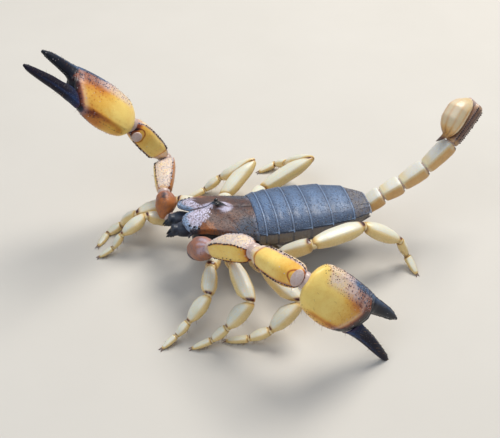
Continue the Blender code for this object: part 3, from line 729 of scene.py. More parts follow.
def strew(shell, kind, slot, density, small, large, seed):
    """Geometry granules over a finished shell; density is per square millimetre."""
    name = shell.name.removesuffix("_shell") + "_granules"
    settle(grown(name, shell.data.copy(), GRAINS, Density=density * 1e6, Smallest=small, Largest=large,
                 Seed=seed, Finish=MATERIALS[kind]), slot)


# --- trunk ---
def plate(shell, outer, marks, thick=0.45):
    """A closed plate from a grid of points over its outer face."""
    rows, columns = outer.shape[:2]
    du, dv = np.gradient(outer, axis=0), np.gradient(outer, axis=1)
    normal = np.cross(du, dv)
    normal /= np.linalg.norm(normal, axis=-1, keepdims=True) + 1e-12
    if normal[rows // 2, columns // 2, 2] < 0:
        normal = -normal
    inner = outer - normal * thick
    painted = np.stack([np.broadcast_to(m, (rows, columns)) for m in marks], -1).reshape(-1, 3)
    index = np.arange(rows * columns).reshape(rows, columns)
    top = np.stack((index[:-1, :-1], index[:-1, 1:], index[1:, 1:], index[1:, :-1]), -1).reshape(-1, 4)
    under = top[:, ::-1] + rows * columns
    edge = np.concatenate((index[0, :], index[1:, -1], index[-1, -2::-1], index[-2:0:-1, 0]))
    following = np.roll(edge, -1)
    rim = np.stack((following, edge, edge + rows * columns, following + rows * columns), -1)
    middle = outer.mean((0, 1))
    points = np.vstack((outer.reshape(-1, 3), inner.reshape(-1, 3))) - middle
    shell.add(points, np.vstack((painted, painted)), np.vstack((top, under, rim)), np.zeros((0, 3), int))
    shell.points[-1] = points + middle


PLATES_AHEAD = 0.6             # how far the plates' edges lie ahead of their rings' ends
PLATES_DOWN_TO = 13.0          # degrees above the flank's middle where the back plates end


def crest_at(x):
    return CARAPACE_TOP_REAR + (CARAPACE_TOP_FRONT - CARAPACE_TOP_REAR) * -x / CARAPACE_LEN


def shield_top(u, v):
    """Height field of the carapace: u runs to the front, v across."""
    x_front = -CARAPACE_LEN - 0.54 * bump(abs(v), 0.5, 0.25) + NOTCH_DEPTH * bump(v, 0, 0.2)
    x_front = x_front + 12.8 * np.maximum(0, abs(v) - 0.75) ** 2
    rear = -GAP / 2 - PLATES_AHEAD
    x = rear + (x_front - rear) * u
    half = CARAPACE_HALF_REAR + (CARAPACE_HALF_FRONT - CARAPACE_HALF_REAR) * np.maximum(u, 0) ** 1.4
    y = v * half
    dip_from, dip = CARAPACE_DIP
    drop = CARAPACE_DROP + (CARAPACE_DROP_FRONT - CARAPACE_DROP) * u
    z = CARAPACE_TOP_REAR + (CARAPACE_TOP_FRONT - CARAPACE_TOP_REAR) * u - drop * abs(v) ** 2.2
    z = z - dip * np.maximum(0, u - dip_from) / (1 - dip_from)
    near_eyes = step(1.9, 1.2, abs(x - EYE_X))
    z = z - (0.14 * bump(v, 0, 0.09) + 0.18 * bump(y, 0, 0.16)) * (1 - 0.75 * near_eyes)
    z = z + TUBERCLE_HEIGHT * np.exp(-((x - EYE_X) / 1.5) ** 2 - (y / 1.35) ** 2)
    z = z + 0.3 * bump(u, 0.82, 0.16) * bump(abs(v), 0.42, 0.26)          # frontal lobes
    z = z - 0.22 * bump(u, 0.42, 0.15) * bump(abs(v), 0.6, 0.2)           # hollows beside the middle
    arc = u - 0.42 + 0.34 * (abs(v) - 0.15) ** 2
    z = z - 0.06 * bump(arc, 0, 0.03) * step(0.1, 0.22, abs(v)) * step(0.85, 0.65, abs(v))
    fork = abs(v) - 0.34 * step(0.24, 0.03, u) - 0.02
    z = z - 0.1 * bump(fork, 0, 0.06) * step(0.27, 0.2, u) * step(0.0, 0.03, u)
    z = z + 0.05 * bump(u, 0.965, 0.02)                                   # raised front rim
    return sheet_of(x, y, z)


SHIELD_ROWS, SHIELD_COLUMNS = 150, 190
SIDE_STEPS, LIP_STEPS = 14, 5  # steps down the shield's side, and over its front edge
SIDE_CURVE = ((0.0, 0.0), (0.075, 0.13), (0.06, 0.62), (0.005, 1.0))   # outwards, share of the depth


def shield_sheet():
    """Points over the shield with its sides and front lip, and where they lie along and across."""
    u = np.linspace(-0.01, 1.0, SHIELD_ROWS)[:, None]
    v = 0.95 * np.sin(math.pi / 2 * np.linspace(-1, 1, SHIELD_COLUMNS)[None, :])
    outer = shield_top(u, v)
    depth = CARAPACE_SKIRT * (1 - 0.45 * u) + 0.45
    skirts = []
    for f in np.arange(1, SIDE_STEPS + 1) / SIDE_STEPS:          # the side rolls over and down to the rim
        weight = ((1 - f) ** 3, 3 * f * (1 - f) ** 2, 3 * f * f * (1 - f), f ** 3)
        outwards, down = (sum(w * h[n] for w, h in zip(weight, SIDE_CURVE)) for n in (0, 1))
        drop = outer[:, [0, -1]]
        drop[..., 2] -= depth * down
        drop[..., 1] *= 1 + outwards
        skirts.append(drop)
    left = np.stack([s[:, 0] for s in skirts[::-1]], axis=1)
    right = np.stack([s[:, 1] for s in skirts], axis=1)
    sheet = np.concatenate((left, outer, right), axis=1)
    lip = []
    for f in np.arange(1, LIP_STEPS + 1) / LIP_STEPS:            # and so does the front edge
        fold = sheet[-1].copy()
        fold[:, 2] -= 0.75 * f ** 1.2
        fold[:, 0] -= 0.12 * math.sin(math.pi * f * 0.8)
        lip.append(fold)
    along_it = np.concatenate((u[:, 0], np.full(LIP_STEPS, 1.0)))[:, None]
    across_it = np.concatenate((np.full(SIDE_STEPS, -1.0), v[0], np.full(SIDE_STEPS, 1.0)))[None, :]
    return np.concatenate((sheet, np.array(lip)), axis=0), along_it, across_it


def spot(x, y, long, wide):
    """A patch with a flat middle, 1 inside and fading at its edge."""
    return np.exp(-((x / long) ** 2 + (y / wide) ** 2) ** 2)


def carapace():
    sheet, u, v = shield_sheet()
    a = abs(v)
    x, y = sheet[..., 0], sheet[..., 1]
    ahead = x - EYE_X
    ragged = 0.03 * np.sin(x * 5.1 + y * 3.7) + 0.025 * np.sin(x * 11.3 - y * 8.9)
    reach = np.where(v < 0, 0.62, 0.77)
    widest = np.where(v < 0, 0.5, 0.85) + 1.6 * (u - reach)
    lobe_sheen = step(reach, reach + 0.05, u + ragged) * step(0.02, 0.06, a)          # painted sky reflection on the frontal lobes' tops, reaching further back on the near side
    lobe_sheen = lobe_sheen * step(widest + 0.04, widest - 0.04, a + ragged)
    lobe_sheen = lobe_sheen * step(0.96, 0.9, a + ragged)
    # painted sky reflection in the cold colour along the lobes' front and outer rims
    rim_reflection = lobe_sheen * np.maximum(step(0.88, 0.98, u), step(-0.3, 0.0, a - widest) * step(0.8, 0.9, u))
    # painted shade on the steep front sides beside the lobes, which face the ground
    side = step(0.5, 0.8, a) * step(0.72, 0.8, u) * (1 - lobe_sheen)
    patch = step(0.56, 0.68, u + ragged) * step(0.94, 0.84, u)                   # orange at the side
    patch = patch * step(0.58, 0.85, a + 0.4 * (u - 0.7) + ragged)
    patch = patch * (1 - lobe_sheen)
    corner = step(0.32, 0.14, u - 0.3 * (a - 0.6) + ragged) * step(0.35, 0.6, a)  # grey rear corners
    slit = spot(ahead - 0.2, y, 1.9, 0.95 - 0.3 * abs(ahead - 0.2)) * step(2.3, 1.9, abs(ahead - 0.2))
    tubercle = spot(ahead - 0.9, abs(y) - 1.25, 1.2, 0.16)
    # painted blue-white highlight streak in front of the eyes
    streak = spot(ahead + 1.9, abs(y) - 0.3, 1.1, 0.42)
    furrow = bump(y, 0, 0.13) * step(0.52, 0.6, u)
    glint = spot(ahead - 1.9, abs(y) - 0.8 + 0.5 * (ahead - 1.9), 1.3, 0.75)
    rear = step(0.045, 0.01, u) * step(0.2, 0.5, a)
    ink = 0.36 + 0.12 * bump(a, 0, 0.3) * step(0.35, 0.2, u) + 0.42 * corner
    ink = ink + 0.4 * side * (1 - patch) - 0.18 * patch
    ink = ink * (1 - lobe_sheen) + 0.28 * lobe_sheen + 0.6 * rim_reflection
    ink = np.maximum(ink, np.maximum(slit, 0.97 * furrow))
    bloom_and_sheen = 1.1 * lobe_sheen + 0.05 + 0.14 * corner + 0.95 * glint + 0.95 * streak + 0.6 * tubercle + 0.25 * rear
    bloom_and_sheen = bloom_and_sheen * (1 - 0.95 * slit * (1 - streak)) * (1 - 0.8 * furrow) * (1 - 0.8 * patch)
    grain = np.clip(0.6 + 0.3 * corner + 0.1 * lobe_sheen - 0.55 * patch, 0, 1)
    grain = grain * (1 - slit) * (1 - tubercle) * (1 - furrow) * (1 - 0.5 * glint)
    shell = Skin()
    plate(shell, sheet, (ink, bloom_and_sheen, grain), 0.4)
    made = shell.piece("carapace_shell", "brown", "shell_brown", "carapace")
    strew(made, "bead_tan", "shell_brown", 14.0, 0.05, 0.12, 8)


def eyes():
    for side, sign in SIDES.items():
        out = np.array([0.0, sign * 0.75, 0.66])
        centre = np.array([EYE_X, sign * 1.0, crest_at(EYE_X) + 0.78 * TUBERCLE_HEIGHT + 0.34])
        lens = Skin()
        lens.ball(centre - out * 0.3, (unit(out), REAR, np.cross(unit(out), REAR)),
                  (EYE_RADIUS * 0.85, EYE_RADIUS, EYE_RADIUS * 0.85), 28)
        lens.piece(f"eye_{side}_lens", "eye", "eye_black", f"eye_{side}")
    small = Skin()
    for sign in SIDES.values():
        for k in range(3):
            place = shield_top(np.array(0.955 - 0.045 * k), np.array(sign * (0.80 + 0.065 * k)))
            axes = (unit([-0.3, sign * 0.7, 0.6]), REAR, unit([0, 0.6, -0.7 * sign]))
            small.ball(place + np.array([0, sign * 0.05, 0.03]), axes, (0.17, 0.24, 0.24), 16)
    small.piece("lateral_eyes", "eye", "eye_black")


def arch(a):
    """How far the plates' edges lie further back at the flanks than on the back's middle."""
    s = np.sin(a)
    return np.where(s > 0, -PLATES_AHEAD - 0.2 * (1 - np.clip(s, 0, 1)) ** 0.8, -0.8 - 0.5 * s) * (s > -0.99)


def trunk_ring(n, f, a, lift):
    """Point of trunk ring n (from 0) at fraction f, angle a round it, raised by lift."""
    f, a, lift = np.broadcast_arrays(np.asarray(f, float), a, lift)
    half, high, low = (edge[n] + (edge[n + 1] - edge[n]) * f
                       for edge in (TERGITE_HALF_WIDTHS, TRUNK_TOPS, TRUNK_BOTTOMS))
    rim = low + (high - low) * WIDEST_AT
    c, s = np.cos(a), np.sin(a)
    wide = (half + 0.6 * lift) * signed_power(c, 0.72)
    over = s >= 0
    z = np.where(over, rim + (high + lift - rim) * abs(s) ** 1.15, rim - (rim - low + lift) * abs(s) ** 0.75)
    wide = np.where(over, wide, wide * (1 - 0.12 * abs(s)))
    back = arch(a) * (1 if n < LAST_RING else 1 - np.clip(f, 0, 1))
    return sheet_of(sum(TERGITE_LENGTHS[:n]) + TERGITE_LENGTHS[n] * f + back, wide, z)


def tergites():
    low_side = math.radians(PLATES_DOWN_TO)
    a = np.linspace(low_side, math.pi - low_side, 150)[None, :]
    side = np.minimum(np.degrees(a), 180 - np.degrees(a))
    for n, length in enumerate(TERGITE_LENGTHS):
        tuck = min(0.9, 0.35 * length) / length
        rows = max(26, int(length * 13))
        f = np.linspace(-tuck if n else 0.02, 1.0 + 0.12 / length, rows)[:, None]
        away = (1 - f) * length                                   # distance ahead of the rear edge
        lift = -0.3 + 0.3 * step(-tuck, 0.3, f) + 0.16 * step(0.3, 0.9, f)
        lift = lift + 0.05 * bump(away, 0.08, 0.08) - 0.05 * bump(away, 0.3, 0.06)
        lift = lift + 0.08 * bump(side, PLATES_DOWN_TO + 3, 5) * step(0.2, 0.9, f)   # corners turned up
        lift = lift + 0.05 * bump(a, math.pi / 2, 0.06) * step(0.1, 0.3, f)
        if n == LAST_RING:
            for centre in (50, 68, 112, 130):                     # keels
                lift = lift + 0.14 * ridge(a, centre, 3) * step(0.25, 0.5, f)
        elif n:
            for centre in (62, 118):                              # shallow pits beside the middle
                lift = lift - 0.1 * ridge(a, centre, 8) * bump(f, 0.45, 0.2)
        edges = [trunk_ring(n, f, a, lift)]
        for k in range(1, 4):                                     # the rear edge rolls down
            fold = edges[0][-1:].copy()
            fold[..., 0] += 0.05 * math.sin(k)
            fold[..., 2] -= 0.09 * k
            edges.append(fold)
        f = np.concatenate((f, np.full((len(edges) - 1, 1), f[-1, 0])))
        away = (1 - f) * length
        corner = bump(side, PLATES_DOWN_TO + 2, 2.5) * step(0.45 * length + 0.5, 0.3, away)
        line = bump(away, 0.3, 0.08)
        rim = step(0.16, 0.06, away)
        ink = 0.52 + 0.3 * line - 0.2 * rim - 0.3 * corner + 0.12 * step(26, 6, side) * (1 - corner)
        # a painted shadow just behind the rear edge of the plate ahead, which overlaps this one
        ink = ink + 0.5 * bump(f * length, 0.2, 0.13) * (n > 0) + (0.03 if n < LAST_RING else -0.28)
        sheen = bump(np.degrees(a), 96, 30) * bump(f, 0.55, 0.4)
        bloom_and_sheen = 0.16 + 0.3 * rim * step(4, 20, side) + 0.9 * corner - 0.15 * line
        bloom_and_sheen = bloom_and_sheen + (0.4 if n < LAST_RING else 0.0) * sheen
        grain = 0.75 + 0.25 * step(55, 20, side)
        grain = grain * (1 - 0.8 * line) * (1 - 0.8 * rim) * (1 - corner)
        shell = Skin()
        plate(shell, np.concatenate(edges), (ink, bloom_and_sheen, grain), 0.35)
        made = shell.piece(f"tergite_{n + 1}", "slate", "shell_slate", f"mesosoma_{n + 1}")
        # the back's granules are real bumps whose pale sky-blue tone is painted glint
        kind, large = ("bead_sky", 0.10) if n < LAST_RING else ("bead_tan", 0.14)
        strew(made, kind, "shell_slate", 9.0, 0.04, large, 20 + n)


def flanks():
    """Folded skin between the back plates and the belly plates, all round the trunk."""
    ends = np.cumsum((0,) + TERGITE_LENGTHS)
    x = np.linspace(0.1, ends[-1] - 0.2, 180)
    n = np.clip(np.searchsorted(ends, x, side="right") - 1, 0, LAST_RING)
    a = around(140)[None, :]
    side = abs(np.cos(a))
    rows = []
    for xi, ni in zip(x, n):
        f = (xi - ends[ni]) / TERGITE_LENGTHS[ni]
        bulge = 0.5 * math.sin(math.pi * f) ** 0.5 * side ** 6
        fold = 0.09 * np.sin(np.degrees(a) * 0.55) * side ** 6 + 0.05 * np.sin(xi * 9) * side ** 8
        rows.append(trunk_ring(ni, f, a, -0.5 + bulge + fold)[0])
    f = ((x - ends[n]) / np.array(TERGITE_LENGTHS)[n])[:, None]
    below = PLATES_DOWN_TO - np.degrees(np.arcsin(np.sin(a)))       # degrees under the plates' lower edges
    ink = 0.32 + 0.5 * bump(f, 0.0, 0.05) + 0.5 * bump(f, 1.0, 0.05) - 0.2 * step(12, 37, below)
    # painted shade where the skin runs in under the back plates' edges
    ink = ink + 0.6 * step(6, 2, below)
    shell = Skin()
    shell.grid(np.array(rows), ink, 0.3 * side ** 3 * step(4, 10, below), 0.3)
    shell.piece("flank_skin", "pleura", "shell_slate")


def sternites():
    shell = Skin()
    for n in range(2, LAST_RING + 1):
        length = TERGITE_LENGTHS[n]
        f = np.linspace(-0.12, 1.03, max(20, int(length * 8)))[:, None]
        start = math.radians(-155 if n < LAST_RING else -160)
        a = np.linspace(start, -math.pi - start, 76)[None, :]
        away = (1 - f) * length
        lift = -0.3 + 0.35 * step(-0.1, 0.3, f) + 0.08 * step(0.4, 1, f)
        side = np.minimum(abs(turn(a, -180)), abs(turn(a, 0)))
        rim = step(0.35, 0.1, away)
        ink = 0.3 + 0.25 * bump(away, 0.5, 0.12) - 0.12 * rim
        plate(shell, trunk_ring(n, f, a, lift), (ink, 0.2 * rim + 0.2 * step(40, 25, side), 0.2), -0.3)
    shell.piece("sternites", "pleura", "shell_slate")


CORE = ((-12.9, 2.4, 6.9, 12.0), (-12.0, 3.4, 6.4, 12.0), (-9.8, 3.7, 5.8, 11.6), (-8.2, 4.3, 5.5, 11.2),
        (-6.9, 5.5, 5.4, 10.8), (-4.0, 5.9, 5.3, 10.0), (-0.8, 5.9, 5.3, 9.1), (0.6, 5.6, 5.5, 8.7))
COXA_TIPS = {1: (-10.6, 0.9, 5.9), 2: (-8.6, 0.9, 5.5), 3: (-5.6, 1.3, 5.3), 4: (-2.6, 1.5, 5.3)}
COXA = ((0, 0, 0, 0.7, 0.6), (0.15, 0, 0, 1.1, 0.8), (0.6, 0, 0, 1.25, 1.05), (0.9, 0, 0, 1.2, 1.15),
        (1, 0, 0, 1.0, 1.0))
BREASTPLATE = ((-6.4, 0.5), (-5.4, 1.1), (-3.9, 1.15), (-3.5, 0.4))
GILL_COVER = ((-3.2, 0.9), (-2.6, 1.5), (-1.6, 1.5), (-1.1, 0.5))


def coxa_paint(f, angle):
    return 0.22 + bump(f, 0.97, 0.05) * 0.6 + 0.15 * ridge(angle, -90, 60), 0.15, 0.15


def underside():
    """Breastplate, gill cover, and the coxae the legs grow from, over the closed body below."""
    x = np.linspace(CORE[0][0], CORE[-1][0], 70)[:, None]
    half, low, high = through(CORE, x)
    a = around(64)[None, :]
    c, s = np.cos(a), np.sin(a)
    core = Skin()
    points = sheet_of(x, signed_power(c, 0.67) * half,
                      (low + high) / 2 + signed_power(s, 0.67) * (high - low) / 2)
    # the upper half is painted dark as the shade under the shield
    core.grid(points, 0.2 + 0.7 * step(-0.7, 0.1, s), 0.3 * step(0.0, -0.8, s), 0.2, (0.2, 0.2))
    core.piece("prosoma_skin", "brown", "leg_cream", "prosoma_underside")
    coxae = Skin()
    for sign in SIDES.values():
        for number, (tip_x, tip_y, tip_z) in COXA_TIPS.items():
            hx, hy, hz = LEG_HIPS[number]
            head = (hx, sign * (hy - TROCHANTER_LEN * 0.9), hz - 0.1)
            coxae.tube(between((tip_x, sign * tip_y, tip_z), head, COXA, 2.6), 24, 30, coxa_paint)
    for outline in (BREASTPLATE, GILL_COVER):
        x = np.linspace(outline[0][0], outline[-1][0], 24)[:, None]
        half = through(outline, x)[0]
        coxae.grid(sheet_of(x, c * half, 5.15 + 0.3 * s - 0.06 * c ** 2), 0.3, 0.2, 0.1, (0.1, 0.1))
    coxae.piece("leg_coxae", "leg", "leg_cream")


COMB_TEETH = 14
COMB_ROOT, COMB_TIP = 1.2, 6.0


def comb_limb(tail, head, wide, high):
    return between(tail, head, stations(wide, high, (0, 0.7), (0.12, 1), (0.85, 1), (1, 0.6)), 2.2)


def pectines():
    """Comb organs: a plated spine, small lamellae and a row of teeth along the rear."""
    reach = COMB_TIP - COMB_ROOT
    for side, sign in SIDES.items():
        comb = Skin()
        knots = [np.array([2.0 + 0.35 * k, sign * (COMB_ROOT + reach * k / 3), 3.98 + 0.1 * k])
                 for k in range(4)]
        for knot, following in zip(knots, knots[1:]):
            comb.tube(comb_limb(knot, following - (following - knot) * 0.03, 0.42, 0.26), 20, 24,
                      lambda f, a: (0.25, 0.2, 0.1))
        for k in range(COMB_TEETH):
            f = (k + 0.5) / COMB_TEETH
            base = np.array([2.45 + 1.0 * f, sign * (COMB_ROOT + 0.15 + reach * f), 3.95 + 0.3 * f])
            comb.ball(base + [0.18, 0, 0], np.eye(3), (0.2, 0.17, 0.16), 12, 0.4)
            comb.tube(comb_limb(base + [0.25, 0, -0.03], base + [1.35, sign * 0.08, -0.08], 0.14, 0.18),
                      12, 12, lambda f, a: (0.1, 0.3, 0.0))
        comb.piece(f"pecten_{side}_comb", "comb", "comb_pale", f"pecten_{side}")


JAW = ((0.0, 0, 0, 1.2, 1.05), (0.12, 0, 0, 1.42, 1.3), (0.45, 0, 0.05, 1.5, 1.42),
       (0.68, 0, 0.0, 1.32, 1.3), (0.8, 0, -0.05, 1.0, 1.05))


def jaw_paint(f, angle):
    # the upper side is paler with painted sheen
    top = step(-0.2, 0.6, np.sin(angle))
    return 0.72 + 0.2 * f, 0.16 * top * (1 - 0.5 * f), 0.35 * step(0.8, 0.3, f)


def jaw_finger(size):
    return ((0, 0, 0, size, size * 1.2), (0.35, 0, 0.0, size * 0.85, size),
            (0.7, 0, -0.1, size * 0.5, size * 0.6), (0.92, 0, -0.3, size * 0.25, size * 0.3),
            (1, 0, -0.42, 0.08, 0.1))


def chelicerae():
    axes = directions(180, 12)
    for side, sign in SIDES.items():
        body = Tube((-13.2, sign * 1.65, 11.05), axes, 3.9, JAW, square=2.5)
        jaw = Skin()
        jaw.tube(body, 44, 56, jaw_paint, (0.3, 0.45))
        outer_side = np.array([0, sign * 1.0, 0])
        for offset, drop, length, size, heading, teeth_at in ((-0.55, -0.25, 2.3, 0.62, -6, 40),
                                                              (0.62, -0.5, 2.5, 0.55, 8, -40)):
            base = body.end - axes[0] * 0.9 + outer_side * offset + axes[2] * drop * 0.6
            toward = directions(180 + heading * sign, -14)
            finger = Tube(base, toward, length, jaw_finger(size), square=2.2)
            jaw.tube(finger, 30, 26, lambda f, a: (0.9 + 0.1 * f, 0.1 * (1 - f), 0.0), (0.2, 0.04))
            for f, tooth in ((0.42, 0.2), (0.6, 0.24), (0.78, 0.16)):
                place = finger.at(np.array(f), np.array(math.radians(-90 + teeth_at * sign)))
                jaw.ball(place, toward, (tooth, tooth * 0.8, tooth), 12, 1.0)
        jaw.piece(f"chelicera_{side}_jaw", "brown", "shell_brown", f"chelicera_{side}")


# --- tail ---
TAIL_KEELS = {45: 1.0, 135: 1.0, 8: 0.5, 172: 0.5, -42: 0.9, -138: 0.9, -72: 0.5, -108: 0.5}
DARK_KEELS = {45: 0.9, 135: 0.9, 8: 0.3, 172: 0.3, -38: 1.0, -142: 1.0, -90: 1.0}
TAIL_GIRTH = ((0.0, 0.8), (0.06, 0.92), (0.28, 1), (0.55, 1.07), (0.8, 1.08), (0.95, 1.0), (1.0, 0.86))


def tail_form(keels, height):
    def form(f, angle):
        """Four sides hollowed between keels, the back a little more."""
        s = np.sin(angle)
        k = 0.96 + 0.07 * abs(np.sin(2 * angle)) ** 2 - 0.03 * step(0.84, 0.96, s)
        body = step(0.03, 0.14, f) * step(1.0, 0.9, f)
        for centre, tall in keels.items():
            k = k + height * tall * ridge(angle, centre, 5.5) * body
        return k - 0.015 * ridge(angle, 90, 18) * body

    return form


def tail_paint(keels, dark):
    def paint(f, angle):
        dorsal = step(47, 40, abs(turn(angle, 90)))
        keel = sum(tall * ridge(angle, c, 4.5) for c, tall in keels.items())
        under = step(-0.15, -0.8, np.sin(angle))
        rim = bump(f, 0.955, 0.045)
        collar = bump(f, 0.02, 0.05)
        if dark:
            ink = 0.72 - 0.08 * dorsal + 0.12 * keel + 0.1 * under - 0.3 * rim - 0.25 * collar
            # the keels' pale streaks are painted highlight
            return ink, 0.1 + 0.32 * keel + 0.3 * rim + 0.1 * dorsal, 0.3 + 0.4 * keel
        flank = step(0.75, 0.35, np.sin(angle))
        ink = 0.04 + 0.27 * flank + 0.06 * under - 0.1 * rim - 0.1 * collar
        side_spot = ridge(angle, -25, 20) + ridge(angle, -155, 20)
        bloom_and_sheen = 0.05 + 0.7 * dorsal * step(0.1, 0.45, f) + 0.2 * rim * (1 - side_spot) + 0.15 * collar
        return ink + 0.75 * bump(f, 0.985, 0.025) * side_spot, bloom_and_sheen, 0.06 + 0.12 * keel

    return paint


def tail():
    """The five rings, the last one dark and keeled; gives its end and its directions."""
    at = np.array(TAIL_BASE)
    poses = [directions(h, p) for h, p in zip(TAIL_HEADINGS, TAIL_PITCHES)]
    joints = Skin()
    for n, length in enumerate(TAIL_LENGTHS):
        w, h = TAIL_HALF_WIDTHS[n], TAIL_HALF_HEIGHTS[n]
        dark = n == len(TAIL_LENGTHS) - 1
        keels, height, finish, slot = ((DARK_KEELS, 0.035, "tail_dark", "tail_brown") if dark else
                                       (TAIL_KEELS, 0.014, "tail", "tail_cream"))
        tube = Tube(at, poses[n], length, stations(w, h, *TAIL_GIRTH), poses[n - 1][0] if n else REAR,
                    None if dark else poses[n + 1][0], 2.3, tail_form(keels, height))
        ring = Skin()
        ring.tube(tube, int(40 + length * 10), 144, tail_paint(keels, dark), (-0.3, -0.3), 0.5)
        made = ring.piece(f"tail_ring_{n + 1}", finish, slot, f"metasoma_{n + 1}")
        if dark:
            for centre, tall in keels.items():
                row = tube.at(np.linspace(0.1, 0.93, 60), math.radians(centre), 0.0)
                bead_row("bead_dark", slot, row, 0.13 + 0.04 * tall, 2.4)
            strew(made, "bead_dark", slot, 5.0, 0.05, 0.11, 31)
        ball = 0.72 * min(w, h)
        if n:
            joints.ball(at, poses[n], (ball * 0.8, ball * 1.06, ball * 1.02), 40, 0.1, 0.3)
        at = tube.end
    joints.ball(np.array(TAIL_BASE) + [0.1, 0, 0.2], directions(0, 20), (1.0, 2.0, 1.6), 40, 0.2, 0.3)
    joints.piece("tail_joint_skin", "membrane", "tail_cream")
    return at, poses[-1]


VESICLE = ((0.0, -2.1, 0.3), (0.07, -1.6, 0.52), (0.2, -0.7, 0.82), (0.4, 0.0, 0.98), (0.62, 0.0, 0.99),
           (0.82, -0.4, 0.84), (0.95, -0.9, 0.55), (1.0, -1.1, 0.36))
STING = ((0, 0.76), (0.25, 0.6), (0.5, 0.44), (0.75, 0.27), (0.93, 0.12), (1, 0.05))


def vesicle_paint(f, angle):
    streak = np.clip(np.sin(angle * 9) * 0.5 + 0.5, 0, 1) ** 3
    ink = 0.12 + 0.16 * streak * step(0.1, 0.4, f) + 0.25 * step(0.8, 1.0, f)
    ink = ink + 0.15 * ridge(angle, 180, 50)
    # painted sheen along the bulb's top
    bloom_and_sheen = 0.3 * step(0.1, 0.9, np.sin(angle)) * step(0.05, 0.3, f) * step(0.95, 0.6, f) + 0.03
    return ink, bloom_and_sheen, 0.25 * (1 - streak) * step(-0.2, -0.9, np.sin(angle)) + 0.06


def telson(at, last):
    axes = directions(TELSON_HEADING, TELSON_PITCH)
    start = at + np.array(TELSON_START)
    r = VESICLE_HALF
    bulb = Tube(start, axes, VESICLE_LEN, [(f, 0, b, r * a, r * a) for f, b, a in VESICLE],
                form=lambda f, a: 1 + 0.012 * np.sin(a * 9) * step(0.05, 0.3, f) * step(1, 0.7, f))
    vesicle = Skin()
    vesicle.tube(bulb, 110, 120, vesicle_paint, (0.25, 0.1), 0.4)
    vesicle.piece("sting_bulb", "tail", "tail_cream", "telson_vesicle")
    hinge = Skin()
    root = bulb.at(np.array([0.03]), around(12)[:, None]).mean((0, 1))
    skin = between(at - last[0] * 0.6, root, stations(1, 1, (0, 0.95), (0.5, 0.85), (1, 0.7)))
    hinge.tube(skin, 26, 32, lambda f, a: (0.4, 0.1, 0.0))
    hinge.piece("sting_joint_skin", "membrane", "tail_cream")
    needle = [(f, 0, 2.5 * f ** 1.25 - 1.1, half, half) for f, half in STING]
    point = Tube(start + axes[0] * (VESICLE_LEN - 0.05), axes, STING_LEN + GAP, needle)
    spike = Skin()
    spike.tube(point, 60, 36, lambda f, a: (0.42 + 0.62 * step(0.15, 0.7, f), 0.12 * (1 - f), 0.0),
               (0.05, 0.03))
    spike.piece("sting_point", "tail_dark", "tail_brown", "sting")


# --- legs ---
BRISTLES = {}

TROCHANTER = ((0.0, 0.85, 0.9), (0.2, 1.15), (0.75, 1.12), (1, 0.85))
KNEE = ((0.0, 0.5, 0.6), (0.08, 0.74, 0.85), (0.4, 1.04, 1.12), (0.68, 1.06, 1.12), (0.9, 0.78, 0.86),
        (1.0, 0.5, 0.58))
SHIN_AND_FEET = (          # fraction of the length, shares of the depth and of the breadth
    ((0.0, 0.55, 0.46), (0.12, 0.85, 0.76), (0.42, 1.08, 1.04), (0.72, 0.95, 0.88), (0.97, 0.5, 0.42)),
    ((0.0, 0.5, 0.42), (0.1, 0.61, 0.53), (0.45, 0.68, 0.64), (0.93, 0.46, 0.4), (1, 0.4, 0.34)),
    ((0.0, 0.42, 0.36), (0.1, 0.5, 0.44), (0.5, 0.46, 0.42), (0.86, 0.34, 0.28), (0.97, 0.24, 0.2)),
)


def bristle(slot, tube, f, angle, sunk, lean, length, size):
    """A hair rooted a little below a tube's surface, leaning along it."""
    root = tube.at(np.array(f), np.array(angle), -sunk)
    middle = tube.start + tube.forward * (root - tube.start).dot(tube.forward)
    way = unit(unit(root - middle) + tube.forward * lean)
    BRISTLES.setdefault(slot, []).append((root, way, length, size))


def leg_keels(height):
    """Two low keels along the upper side."""
    return lambda f, a: 1 + height * (ridge(a, 48, 10) + ridge(a, 132, 10))


def leg_paint(f, angle, start=1.0, end=1.0):
    """Yellow with painted bluish sheen along the back, browned at its start and dark at its end."""
    off_top = abs(turn(angle, 90))
    back, over = step(62, 30, off_top), step(50, 25, off_top)
    edge = ridge(angle, 48, 9) + ridge(angle, 132, 9)
    spot = end * bump(f, 0.965, 0.045) * (0.25 + 0.75 * over)
    ink = 0.06 + 0.12 * (1 - back) + 0.35 * start * bump(f, 0.0, 0.05) + 0.8 * spot + 0.05 * edge
    # the back's sheen is broken into streaks of painted highlight
    streak = 0.85 + 0.15 * np.sin(angle * 19 + 3 * np.sin(f * 4))
    return ink, 0.85 * back * streak * step(0.02, 0.15, f) * step(0.97, 0.85, f), 0.05


def hooked_claws(foot, end, axes):
    """The two claws at a foot's end, curving down to the floor."""
    forward, sideways, upper = axes
    t, a = np.linspace(0, 1, 16), around(14)
    ring = sideways * np.cos(a)[:, None] + upper * np.sin(a)[:, None]
    for s in (1, -1):
        spine = (end[None] - forward * 0.1 + forward * (0.95 * np.sin(t * 1.6))[:, None]
                 + sideways * (s * (0.14 + 0.3 * t))[:, None] + upper * (0.1 - 0.28 * t ** 2)[:, None])
        spine[:, 2] = np.maximum(spine[:, 2], 0.13 - 0.09 * t)
        rows = [centre + ring * (0.14 * (1 - 0.85 * k)) for centre, k in zip(spine, t)]
        foot.grid(np.array(rows), 0.5 + 0.4 * t[:, None], 0.1, 0.0, (0.03, 0.01))


